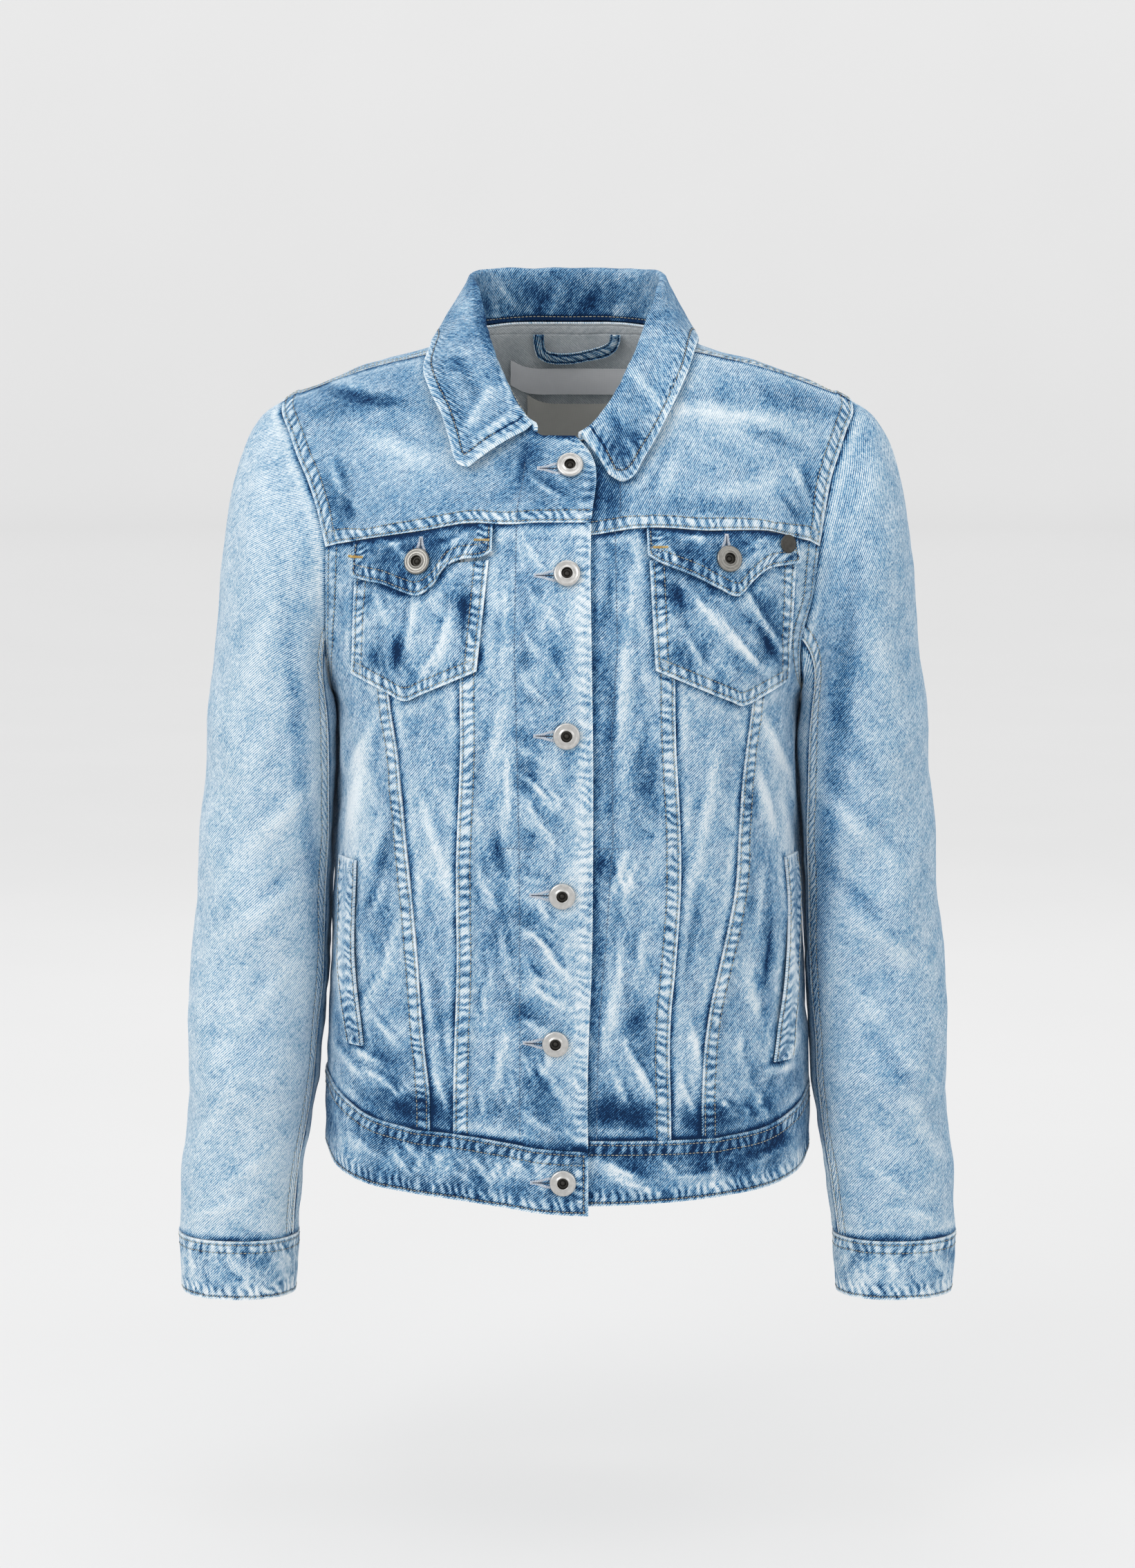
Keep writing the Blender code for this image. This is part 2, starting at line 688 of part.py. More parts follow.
def lap(points):
    """Gives the lift of the right front over the left one, 0 to 1."""
    front = points[..., 1] < 0
    return ease((points[..., 0] - LAP_FROM) / (LAP_FULL - LAP_FROM)) * front


def blend_grid(top, bottom, first, last, spread=1.0):
    """Fills a grid from its four borders. Its first coordinate leaves the top the faster, the
    larger the spread."""

    def shares(line):
        steps = np.linalg.norm(np.diff(line, axis=0), axis=1)
        return np.concatenate(([0.0], np.cumsum(steps))) / steps.sum()

    over = ((shares(top) + shares(bottom)) / 2)[None, :, None]
    down = 1 - (1 - shares(last)[:, None, None]) ** np.array([spread, 1.0])
    base = (1 - down) * top[None] + down * bottom[None]
    first_bend = first[:, None] - (1 - down) * top[0] - down * bottom[0]
    last_bend = last[:, None] - (1 - down) * top[-1] - down * bottom[-1]
    return base + (1 - over) * first_bend + over * last_bend


# ---------------------------------------------------------------------------------------------
# Torso panels
# ---------------------------------------------------------------------------------------------


def yoke_shares():
    """Gives the shares down the armhole of a front yoke's rows."""
    return np.append(np.linspace(0, 1 - YOKE_LAST_ROW, YOKE_ROWS), 1.0) * YOKE_SHARE


def add_band(points, grid):
    """Adds the two rows of the raised band above a yoke's lower seam."""
    last = np.linalg.norm(points[-1] - points[-2], axis=-1)
    rows = []
    for depth in (YOKE_BAND + FELL_STEP, YOKE_BAND):
        share = (1 - depth / last)[:, None]
        turned_row = grid[-2] + share * (grid[-1] - grid[-2])
        row = over_shoulder(turned_row[:, 0], turned_row[:, 1])
        straight = points[-2] + share * (points[-1] - points[-2])
        row[[0, -1]] = straight[[0, -1]]
        rows.append(row)
    return np.concatenate((points[:-1], np.array(rows), points[-1:]))


def yoke_level(side, x):
    """Gives the height of a front yoke's lower seam."""
    return smooth(YOKE_SEAM, side, np.abs(x) if side == "left" else -np.asarray(x))


def waist_level(side, angle, edge):
    """Gives the height of the waist seam or the hem on one side."""
    return smooth(WAIST, side + "_" + edge, np.abs(angle) if side == "left" else -angle)


def seam_down(side, column):
    """Follows a front seam from the yoke to the waist, a point for each row."""
    shares = np.linspace(0, 1, BODY_ROWS + 1)
    top_x = smooth(FRONT_SEAMS, column, -115.0)
    low_x = smooth(FRONT_SEAMS, column, -500.0)
    top = float(yoke_level(side, top_x))
    low = float(waist_level(side, angle_of(low_x, -500.0), "waist"))
    levels = top + shares * (low - top)
    return stack(smooth(FRONT_SEAMS, column, levels), levels)


def front_strip(side, first, last, columns):
    """Lays a front panel between two seams. A column is a share across and an inset."""
    rows = []
    down = np.linspace(0, 1, BODY_ROWS + 1)
    for row in range(BODY_ROWS + 1):
        x = [
            first[row, 0] + share * (last[row, 0] - first[row, 0]) + shift * SIDES[side]
            for share, shift in columns
        ]
        rows.append(x)
    x = np.array(rows)
    top = yoke_level(side, x[0])
    low = waist_level(side, angle_of(x[-1], np.full(x.shape[1], -500.0)), "waist")
    z = top[None] + down[:, None] * (low - top)[None]
    return on_front(x, z)


def centre_front(side):
    """Lays the centre front from its edge to the inner V seam."""
    seam = seam_down(side, side + "_inner")
    if side == "right":
        edge = seam_down(side, "edge")
        columns = ((0, 0), (0, 15), (0, 33), (0, 40), (0, 48), (0, 61), (1, -11.5), (1, -10.5), (1, 0))
    else:
        edge = stack(np.full(BODY_ROWS + 1, STAND_EDGE), seam[:, 1])
        columns = ((0, 0), (0, 18), (0, 34), (0, 47), (0, 60), (1, -11.5), (1, -10.5), (1, 0))
    return front_strip(side, edge, seam, columns)


def wedge_front(side):
    """Lays the wedge between the V seams."""
    inner = seam_down(side, side + "_inner")
    outer = seam_down(side, side + "_outer")
    return front_strip(side, inner, outer, ((0, 0), (1 / 3, 0), (2 / 3, 0), (1, 0)))


def side_edge(side, column):
    """Follows the armhole and then the side seam, a point for each row."""
    shares = np.linspace(YOKE_SHARE, UNDERARM_SHARE, ARMHOLE_ROWS + 1)
    upper = armhole(side, column, shares)
    low = float(waist_level(side, SIDES[side] * 90.0, "waist"))
    levels = np.linspace(upper[-1, 2], low, BODY_ROWS - ARMHOLE_ROWS + 1)[1:]
    lower = at_side(SIDES[side], np.zeros(len(levels)), levels)
    return np.concatenate((upper, lower))


def round_panel(near, far, columns, top_level, low_level):
    """Lays a panel between two borders by angle and height. A column is a share and a turn."""
    near_round = stack(angle_at(near), near[:, 2])
    far_round = stack(angle_at(far), far[:, 2])
    grid = np.array([
        near_round + share * (far_round - near_round) + np.array([turn, 0.0])
        for share, turn in columns
    ]).transpose(1, 0, 2)
    down = np.linspace(0, 1, len(near))[:, None]
    if top_level is not None:
        grid[..., 1] += (1 - down) ** 2 * (top_level(grid[0]) - grid[0, :, 1])[None]
    grid[..., 1] += down**2 * (low_level(grid[-1]) - grid[-1, :, 1])[None]
    points = at_angle(grid[..., 0], grid[..., 1])
    points[:, 0] = near
    points[:, -1] = far
    return points


def side_front(side):
    """Lays the side front from the outer V seam to the armhole and side seam."""
    seam = seam_down(side, side + "_outer")
    near = on_front(seam[:, 0], seam[:, 1])
    far = side_edge(side, side)
    sign = SIDES[side]
    fell = sign * FELL_TURN
    step = sign * (FELL_TURN + FELL_STEP_TURN)
    columns = ((0, 0), (0, fell), (0, step), (1 / 3, step / 3), (2 / 3, -step / 3),
               (1, -step), (1, -fell), (1, 0))

    def top_level(row):
        x = at_angle(row[:, 0], row[:, 1])[:, 0]
        return yoke_level(side, x)

    def low_level(row):
        return waist_level(side, row[:, 0], "waist")

    return round_panel(near, far, columns, top_level, low_level)


def back_seam(side):
    """Follows a back V seam, a point for each row."""
    low = -488.0
    levels = np.linspace(BACK_YOKE_SEAM, low, BODY_ROWS + 1)
    x = smooth(BACK_SEAMS, "x", levels)
    angles = SIDES[side] * (180.0 - angle_of(x, levels))
    levels[-1] = waist_level(side, angles[-1], "waist")
    return at_angle(angles, levels)


def side_back(side):
    """Lays the side back from the side seam to the back V seam."""
    near = side_edge(side, "back")
    far = back_seam(side)
    sign = SIDES[side]
    fell = sign * FELL_TURN
    step = sign * (FELL_TURN + FELL_STEP_TURN)
    columns = ((0, 0), (0, fell), (0, step), (0.25, step * 0.7), (0.5, step / 2), (0.75, 0), (1, 0))
    shares = np.array([share for share, _ in columns])

    def top_level(row):
        return near[0, 2] + shares * (far[0, 2] - near[0, 2])

    def low_level(row):
        return waist_level(side, row[:, 0], "waist")

    return round_panel(near, far, columns, top_level, low_level)


def centre_back():
    """Lays the centre back between the back V seams, right to left."""
    right = back_seam("right")
    left = back_seam("left")
    right_turn = stack(angle_at(right), right[:, 2])
    left_turn = stack(angle_at(left) - 360, left[:, 2])
    columns = ((0, 0), (0, -FELL_TURN), (0, -FELL_TURN - FELL_STEP_TURN), (0.21, 0), (0.31, 0),
               (0.405, 0), (0.5, 0), (0.595, 0), (0.69, 0), (0.79, 0),
               (1, FELL_TURN + FELL_STEP_TURN), (1, FELL_TURN), (1, 0))
    grid = np.array([
        right_turn + share * (left_turn - right_turn) + np.array([turn, 0.0])
        for share, turn in columns
    ]).transpose(1, 0, 2)
    return at_angle(grid[..., 0], grid[..., 1])


def front_yoke(side, lower_edge):
    """Lays a front yoke up from the seam it shares with the panels below."""
    neck_columns = len(lower_edge) - 1 - SHOULDER_COLUMNS
    neck = neckline(side, np.linspace(NECK_EDGE[side], NECK_SEAM, neck_columns + 1))
    shoulder = shoulder_seam(side)
    top = np.concatenate((neck, shoulder[1:]))
    levels = neck[0, 2] + yoke_shares() / YOKE_SHARE * (lower_edge[0, 2] - neck[0, 2])
    if side == "right":
        edge = on_front(smooth(FRONT_SEAMS, "edge", levels), levels)
        edge[0] = neck[0]
        edge[-1] = lower_edge[0]
    else:
        edge = on_front(np.full(YOKE_ROWS + 1, STAND_EDGE), levels)
    arm = armhole(side, side, yoke_shares())
    grid = blend_grid(arc_of(top), arc_of(lower_edge), arc_of(edge), arc_of(arm))
    points = over_shoulder(grid[..., 0], grid[..., 1])
    points[0], points[-1], points[:, -1] = top, lower_edge, arm
    return add_band(points, grid)


def back_arm_edge(side):
    """Follows the armhole from the shoulder seam over the ridge and down to the back yoke seam."""
    start = armhole(side, side, 0.0)
    down = armhole(side, "back", np.linspace(0, YOKE_SHARE, BACK_YOKE_ROWS - 1))
    ridge = on_top(start[0], (start[1] + down[0, 1]) / 2)
    return np.concatenate((start[None], ridge[None], down))


def back_yoke(lower_edge):
    """Lays the back yoke from the shoulder seams and back neck down to its seam."""
    right = shoulder_seam("right")[::-1]
    left = shoulder_seam("left")
    half = np.array(BACK_NECK_SHARES)
    around = np.concatenate((half, 2 * NECK_END - half[-2::-1]))
    top = np.concatenate((right, neckline("right", around)[1:-1], left))
    first = back_arm_edge("right")
    last = back_arm_edge("left")
    grid = blend_grid(arc_of(top), arc_of(lower_edge), arc_of(first), arc_of(last), BACK_SPREAD)
    points = over_shoulder(grid[..., 0], grid[..., 1])
    points[0], points[-1], points[:, 0], points[:, -1] = top, lower_edge, first, last
    return add_band(points, grid)


def fell_mask(points, columns):
    """Marks the columns that carry a raised fell."""
    mask = np.zeros(points.shape[:2])
    mask[:, columns] = 1.0
    return mask


def band_mask(points):
    """Marks the two lowest rows."""
    mask = np.zeros(points.shape[:2])
    mask[-2:] = 1.0
    return mask


def below_pocket(points, level):
    """Fades a fell out where a pocket lies on it."""
    return ease((level - points[..., 2]) / 22.0)


def make_torso():
    """Makes the panels of the torso and returns the waist seam, right to left."""
    bottoms = {}
    yoke_edges = {}
    for side in SIDES:
        centre, wedge, flank = centre_front(side), wedge_front(side), side_front(side)
        wedge[:, 0], wedge[:, -1] = centre[:, -1], flank[:, 0]
        yoke_edges[side] = np.concatenate((centre[0], wedge[0, 1:], flank[0, 1:]))
        bottoms[side] = np.concatenate((centre[-1], wedge[-1, 1:], flank[-1, 1:]))
        fell = fell_mask(centre, [-1, -2]) * below_pocket(centre, -212.0) * FELL_RISE
        facing = lap(centre) if side == "right" else (centre[..., 0] < FACING_LEFT) * 1.0
        if side == "right":
            rise = fell + facing * LAP_LIFT
            floor = -CLOTH + facing * (CLOTH + LAP_INNER)
        else:
            rise = fell
            floor = -CLOTH - facing * (DOUBLE_CLOTH - CLOTH)
        torso_wall("front_centre_" + side, centre, DENIM, rise, floor=floor)
        torso_wall("front_wedge_" + side, wedge, DENIM_DEEP)
        rise = fell_mask(flank, [0, 1]) * below_pocket(flank, -218.0)
        armhole_rows = np.arange(BODY_ROWS + 1)[:, None] < ARMHOLE_ROWS - 2
        rise = rise + fell_mask(flank, [-1, -2]) * armhole_rows
        torso_wall("front_side_" + side, flank, DENIM_PALE, rise * FELL_RISE)

    for side in SIDES:
        yoke = front_yoke(side, yoke_edges[side])
        rise = np.maximum(fell_mask(yoke, [-1, -2]), band_mask(yoke)) * FELL_RISE
        floor = np.full(yoke.shape[:2], -CLOTH)
        if side == "right":
            rise = rise * (1 - lap(yoke)) + lap(yoke) * LAP_LIFT
            floor = floor + lap(yoke) * (CLOTH + LAP_INNER)
        else:
            rise = rise * (yoke[..., 0] > FACING_LEFT)
        torso_wall("yoke_front_" + side, yoke, DENIM_PALE, rise, floor=floor)

    flanks = {side: side_back(side) for side in SIDES}
    middle = centre_back()
    middle[:, 0], middle[:, -1] = flanks["right"][:, -1], flanks["left"][:, -1]
    for side, flank in flanks.items():
        armhole_rows = np.arange(BODY_ROWS + 1)[:, None] < ARMHOLE_ROWS - 2
        torso_wall("back_side_" + side, flank, DENIM_PALE,
                   fell_mask(flank, [0, 1]) * armhole_rows * FELL_RISE)
    torso_wall("back_centre", middle, DENIM, fell_mask(middle, [0, 1, -1, -2]) * FELL_RISE)
    lower = np.concatenate((flanks["right"][0], middle[0, 1:-1], flanks["left"][0, ::-1]))
    yoke = back_yoke(lower)
    rise = np.maximum(fell_mask(yoke, [0, 1, -1, -2]), band_mask(yoke))
    torso_wall("yoke_back", yoke, DENIM, rise * FELL_RISE)
    back = np.concatenate((flanks["right"][-1, 1:], middle[-1, 1:-1], flanks["left"][-1, :0:-1]))
    return np.concatenate((bottoms["right"], back, bottoms["left"][::-1]))


def make_waistband(seam):
    """Makes the waistband below the waist seam, its right end lapped over its left end."""
    angles = angle_at(seam)
    count = len(seam)
    half = count // 2
    hem = seam.copy()
    for k, angle in enumerate(angles):
        side = "right" if k < half else "left"
        hem[k, 2] = waist_level(side, angle, "hem")
    hem = at_angle(angles, hem[:, 2])
    rows = []
    for share in (0.0, 0.22, 0.6, 1.0):
        level = seam[:, 2] + share * (hem[:, 2] - seam[:, 2])
        rows.append(at_angle(angles, level))
    points = np.array(rows)
    ends = np.arange(count)[None, :] < half
    lifted = lap(points) * ends
    under = (1 - ends) * (points[..., 0] < FACING_LEFT) * (points[..., 1] < 0)
    rise = FELL_RISE * (1 - under) + lifted * LAP_LIFT
    floor = -CLOTH + lifted * (CLOTH + LAP_INNER) - under * (DOUBLE_CLOTH - CLOTH)
    torso_wall("waistband", points, DENIM_DEEP, rise, floor=floor)


# ---------------------------------------------------------------------------------------------
# Sleeves and cuffs
# ---------------------------------------------------------------------------------------------


def armhole_knots(side):
    """Gives the armhole's points round from the shoulder seam by the front to the underarm and
    up the back, in step with the torso panels' rows."""
    yoke = armhole(side, side, yoke_shares())
    front = armhole(side, side, np.linspace(YOKE_SHARE, UNDERARM_SHARE, ARMHOLE_ROWS + 1))
    back = armhole(side, "back", np.linspace(UNDERARM_SHARE, YOKE_SHARE, ARMHOLE_ROWS + 1))
    return np.concatenate((yoke, front[1:], back[1:], back_arm_edge(side)[::-1][1:]))


def ring_point(side, share, turn):
    """Gives sleeve points by share of its length and turn round it (degrees, 0 outermost)."""
    column = "inner_left" if side == "left" else "inner"
    outer = stack(smooth(SLEEVE, "outer", share), smooth(SLEEVE, "outer_z", share))
    inner = stack(smooth(SLEEVE, column, share), smooth(SLEEVE, "inner_z", share))
    angle = np.radians(turn)
    power = 2 / SLEEVE_SQUARE
    along = np.sign(np.cos(angle)) * np.abs(np.cos(angle)) ** power
    across = np.sign(np.sin(angle)) * np.abs(np.sin(angle)) ** power
    depth = np.where(across > 0, smooth(SLEEVE, "front", share), smooth(SLEEVE, "back", share))
    flat = (outer + inner) / 2 + along[..., None] * (outer - inner) / 2
    y = smooth(SLEEVE, "centre", share) - depth * across
    return stack(SIDES[side] * flat[..., 0], y, flat[..., 1])


def sleeve_turns(knots):
    """Gives each armhole knot's turn: 0 at the shoulder seam, 180 at the underarm."""
    steps = np.linalg.norm(np.diff(knots, axis=0), axis=1)
    length = np.concatenate(([0.0], np.cumsum(steps)))
    under = YOKE_ROWS + ARMHOLE_ROWS
    front = length[: under + 1] / length[under] * 180
    back = 180 + (length[under + 1:] - length[under]) / (length[-1] - length[under]) * 180
    return np.concatenate((front, back))


def sleeve_grid(side):
    """Lays a whole sleeve, ring by ring, and gives its inward directions."""
    knots = armhole_knots(side)
    start_turns = sleeve_turns(knots)
    under = YOKE_ROWS + ARMHOLE_ROWS
    front_seam = under - SEAM_TURNS_TOP
    back_seam_at = under + SEAM_TURNS_TOP
    marks = (0, front_seam, back_seam_at, len(knots) - 1)
    end_turns = np.interp(np.arange(len(knots)), marks, (0, CUFF_FRONT_SEAM, CUFF_BACK_SEAM, 360))
    shares = np.array(SLEEVE_RINGS)
    weight = ease(shares / 0.9)[:, None]
    turns = (1 - weight) * start_turns[None] + weight * end_turns[None]
    grid = ring_point(side, shares[:, None], turns)
    fix = knots - grid[0]
    grid = grid + ((1 - ease(shares / CAP_BLEND)) ** 1.5)[:, None, None] * fix[None]
    grid[:, -1] = grid[:, 0]
    middle = grid[:, :-1].mean(axis=1)[:, None]
    around = unit(np.roll(grid[:, :-1], -1, axis=1) - np.roll(grid[:, :-1], 1, axis=1))
    around = np.concatenate((around, around[:, :1]), axis=1)
    along = unit(np.gradient(grid, axis=0))
    inward = unit(np.cross(around, along))
    inward *= np.sign(np.sum(inward * (middle - grid), axis=-1, keepdims=True))
    height = fold_height(SLEEVE_FOLDS, shares[:, None], turns, SLEEVE_LENGTH, SLEEVE_ROUND)
    height *= (ease(shares / 0.35) * ease((1 - shares) / 0.04))[:, None]
    grid = grid - inward * height[..., None]
    grid = keep_off(grid, SLEEVE_CLEAR * ease(shares / 0.03)[:, None])
    torso = outward(grid[:1])
    off_under = ease((np.abs(start_turns - 180) - 45) / 40)[None, :, None]
    first = unit(inward[:1] * (1 - off_under) - torso * off_under)
    mix = (1 - ease(shares / 0.1))[:, None, None]
    inward = unit(first * mix + inward * (1 - mix))
    away = unit(grid[1] - grid[0])
    under = 1 - ease(np.abs(start_turns - 180) / 75)[:, None]
    grid[0] += (SEAM_GAP + 0.15) * away + SLEEVE_CLEAR / 2 * under * torso[0]
    return grid, inward


def make_sleeve(side):
    """Makes a sleeve's under piece and its top piece, the latter in an upper and a lower part."""
    grid, inward = sleeve_grid(side)
    under = YOKE_ROWS + ARMHOLE_ROWS
    first, last = under - SEAM_TURNS_TOP, under + SEAM_TURNS_TOP
    top = np.concatenate((np.arange(last, grid.shape[1] - 1), np.arange(first + 1)))
    whole, upper, lower = slice(None), slice(SLEEVE_SPLIT + 1), slice(SLEEVE_SPLIT, None)
    pieces = (
        ("sleeve_under_", whole, np.arange(first, last + 1), "lrb", DENIM_DEEP),
        ("sleeve_top_", upper, top, "lrb", DENIM_PALE),
        ("sleeve_fore_", lower, top, "tlrb", DENIM_PALE),
    )
    for name, rows, columns, edges, finish in pieces:
        outer = inset(grid[rows][:, columns], edges)
        wall(name + side, outer, outer + CLOTH * inward[rows][:, columns], finish)


def make_cuff(side):
    """Makes a cuff: a band round the sleeve's end whose last part laps over its first."""
    turns = np.concatenate((
        np.linspace(CUFF_BACK_SEAM, 360, 9)[:-1],
        np.linspace(360, 360 + CUFF_FRONT_SEAM, 9)[:-1],
        np.linspace(360 + CUFF_FRONT_SEAM, 360 + CUFF_BACK_SEAM, 6)[:-1],
        np.linspace(360 + CUFF_BACK_SEAM, 360 + CUFF_BACK_SEAM + CUFF_LAP, 3),
    ))
    top = ring_point(side, 1.0, turns)
    middle = ring_point(side, 1.0, np.arange(0, 360, 15.0)).mean(axis=0)
    away = unit((top - middle) * np.array([1, 1, 0]))
    lapped = ease((turns - 360 - CUFF_BACK_SEAM + 40) / 36)
    rows_outer, rows_inner = [], []
    for share in (0.0, 0.3, 0.7, 1.0):
        drop = np.array([0, 0, -(SEAM_GAP + share * CUFF_HEIGHT)])
        lean = -CUFF_TAPER * share
        rows_outer.append(top + drop + (lean + 0.8 + lapped * 3.4)[:, None] * away)
        rows_inner.append(top + drop + (lean - 1.6 + lapped * 3.2)[:, None] * away)
    wall("cuff_" + side, np.array(rows_outer), np.array(rows_inner), DENIM)
    place = len(turns) - 2
    spot = (rows_outer[1][place] + rows_outer[2][place]) / 2
    run = rows_outer[1][place + 1] - rows_outer[1][place - 1]
    drop = rows_outer[2][place] - rows_outer[1][place]
    direction = unit(np.cross(run, drop))
    direction *= np.sign(direction @ away[place])
    add_button("button_cuff_" + side, spot + 0.4 * direction, direction)


# ---------------------------------------------------------------------------------------------
# Collar
# ---------------------------------------------------------------------------------------------


def collar_stations():
    """Gives the collar's neck, roll and edge points from the right front end to the left."""
    Row = namedtuple("Row", ("order",) + Collar._fields)
    halves = []
    for side, table in (("right", COLLAR_RIGHT), ("left", COLLAR_LEFT)):
        before = table[-2]
        beyond = before._replace(
            share=2 * NECK_END - before.share, roll_x=-before.roll_x, edge_x=-before.edge_x
        )
        rows = tuple(Row(k, *row) for k, row in enumerate(table + (beyond,)))
        end = len(table) - 1
        between = end - 0.5 - np.arange(COLLAR_BETWEEN)
        at = np.sort(np.concatenate((np.arange(end + 1), between)))
        neck = neckline(side, smooth(rows, "share", at))
        if side == "right":
            neck = neck + LAP_LIFT * lap(neck)[:, None] * outward(neck)
        neck = neck + np.array([0, 0, COLLAR_LIFT])
        roll = stack(*[smooth(rows, "roll_" + axis, at) for axis in "xyz"])
        edge = stack(*[smooth(rows, "edge_" + axis, at) for axis in "xyz"])
        halves.append((neck, roll, edge))
    joined = [np.concatenate((a, b[::-1][1:])) for a, b in zip(*halves)]
    return joined


def across(direction, toward):
    """Gives the unit part of one direction that is square to another."""
    return unit(toward - np.sum(toward * direction, axis=-1, keepdims=True) * direction)


def lap_cover(points):
    """Gives how much of the lapped front lies under points near the neck, 0 to 1."""
    x, y, z = np.moveaxis(points, -1, 0)
    near = ease((x - LAP_FROM) / (LAP_FULL - LAP_FROM)) * ease((25 - x) / 6)
    return near * (y < -40)


def make_collar():
    """Makes the collar: a stand up from the neck seam, a roll, and the fall outside it."""
    neck, roll, edge = collar_stations()
    height = np.linalg.norm(roll - neck, axis=-1, keepdims=True)
    radius = np.clip(0.45 * height, COLLAR_WALL + 0.5, ROLL_RADIUS)
    rise = unit(roll - neck)
    out = across(rise, unit(edge - roll))
    short = 1 - ease((height - 8) / 12)
    centre = roll - radius * rise + short * radius * out
    stand = unit(centre - radius * out - neck)
    stand_face = across(stand, out)
    fall = unit(edge - centre - radius * out)
    fall_face = across(fall, rise)
    outer, inner = [], []
    for share in (0.0, 0.5):
        line = neck + share * (centre - radius * out - neck)
        outer.append(line)
        inner.append(line + COLLAR_WALL * stand_face)
    for turn in (0, 45, 90, 135):
        angle = math.radians(turn)
        spoke = -math.cos(angle) * out + math.sin(angle) * rise
        outer.append(centre + radius * spoke)
        inner.append(centre + (radius - COLLAR_WALL) * spoke)
    start = centre + radius * out
    for share in (0.06, 0.28, 0.52, 0.76, 1.0):
        bow = 1.5 * math.sin(math.pi * share)
        line = start + share * (edge - start) + bow * fall_face
        outer.append(line)
        inner.append(line - COLLAR_WALL * fall_face)
    outer, inner = np.array(outer), np.array(inner)
    inner[0] = keep_off(inner[0], COLLAR_LIFT)
    base = COLLAR_LIFT + LAP_LIFT * lap_cover(outer[FALL_FROM:])
    inner[FALL_FROM:] = keep_off(inner[FALL_FROM:], base)
    outer[FALL_FROM:] = keep_off(outer[FALL_FROM:], base + COLLAR_WALL)
    wall("collar", outer, inner, DENIM_PALE)


# ---------------------------------------------------------------------------------------------
# Pockets, flaps, welts, loop and labels
# ---------------------------------------------------------------------------------------------


def laid(name, points, rise, depth, finish):
    """Makes a piece that lies on the torso, its underside lifted by rise."""
    direction = outward(points)
    rise = (rise + relief(points))[..., None]
    wall(name, points + (rise + depth) * direction, points + rise * direction, finish)


def make_pocket(side):
    """Makes a pointed chest pocket."""
    pocket = POCKETS[side]
    across = np.linspace(0, 1, 8)
    outer_low, inner_low, point = pocket.outer_low, pocket.inner_low, pocket.point
    point_share = (point[0] - outer_low[0]) / (inner_low[0] - outer_low[0])
    across = np.sort(np.append(np.delete(across, np.argmin(np.abs(across - point_share))), point_share))
    low_z = np.interp(across, (0, point_share, 1), (outer_low[1], point[1], inner_low[1]))
    top_z = np.interp(across, (0, 1), (pocket.outer_top[1], pocket.inner_top[1]))
    down = np.linspace(0, 1, 7)[:, None]
    top_x = pocket.outer_top[0] + across * (pocket.inner_top[0] - pocket.outer_top[0])
    low_x = outer_low[0] + across * (inner_low[0] - outer_low[0])
    x = top_x + down * (low_x - top_x)
    z = top_z + down * (low_z - top_z)
    laid("pocket_" + side, on_front(x, z), LAY_GAP, 1.4, DENIM)


def make_flap(side):
    """Makes a pocket flap, tucked under the yoke and lifting over the pocket."""
    low = np.array(FLAPS[side])
    x = low[:, 0]
    top = yoke_level(side, x) - 0.8
    down = np.linspace(0, 1, 5)[:, None]
    z = top + down * (low[:, 1] - top)
    points = on_front(np.broadcast_to(x, z.shape), z)
    depth = top - z
    rise = 0.6 + (FLAP_RISE - 0.6) * ease(depth / FLAP_TUCK)
    laid("flap_" + side, points, rise, CLOTH, DENIM_DEEP)


def make_welt(side):
    """Makes a hand pocket's welt."""
    levels = np.linspace(WELTS[side][0].z, WELTS[side][-1].z, 7)
    front = smooth(WELTS[side], "front", levels)
    rear = smooth(WELTS[side], "rear", levels)
    x = np.stack((front, (front + rear) / 2, rear), axis=1)
    points = on_front(x, np.repeat(levels[:, None], 3, axis=1))
    laid("welt_" + side, points, LAY_GAP, 1.6, DENIM_DEEP)


def on_back(x, z):
    """Puts back-view places on the torso's back."""
    square = smooth(TORSO, "square", z)
    reach = (1 - (np.abs(x) / smooth(TORSO, "width", z)) ** square) ** (1 / square)
    return stack(x, smooth(TORSO, "back", z) * reach, z)


def make_labels():
    """Makes the neck label and the size label on the inside of the back yoke."""
    for label in LABELS:
        x = np.linspace(label.x_from, label.x_to, 10)[None, :]
        lift = 6.5 * np.clip((label.x_from + 19 - x) / 19, 0, 1) ** 2
        z = np.array([label.top, (label.top + label.low) / 2, label.low])[:, None] + lift
        points = on_back(np.broadcast_to(x, z.shape), z)
        laid(label.name, points, -CLOTH - LABEL_GAP - LABEL_CLOTH, LABEL_CLOTH, label.finish)


def make_hanger_loop():
    """Makes the hanger loop: a strip bowed down between two ends under the neck seam."""
    path = np.array([(row.x, row.z) for row in LOOP], float)
    bow = np.array([row.bow for row in LOOP], float)
    run = unit(np.gradient(path, axis=0))
    across = np.stack((-run[:, 1], run[:, 0]), axis=1)
    grid = np.array([path + offset * across for offset in (LOOP_HALF, -LOOP_HALF)])
    points = on_back(grid[..., 0], grid[..., 1])
    laid("hanger_loop", points, -(CLOTH + LOOP_GAP + LOOP_CLOTH + bow)[None, :], LOOP_CLOTH, DENIM_DEEP)


# ---------------------------------------------------------------------------------------------
# Buttons and stud
# ---------------------------------------------------------------------------------------------


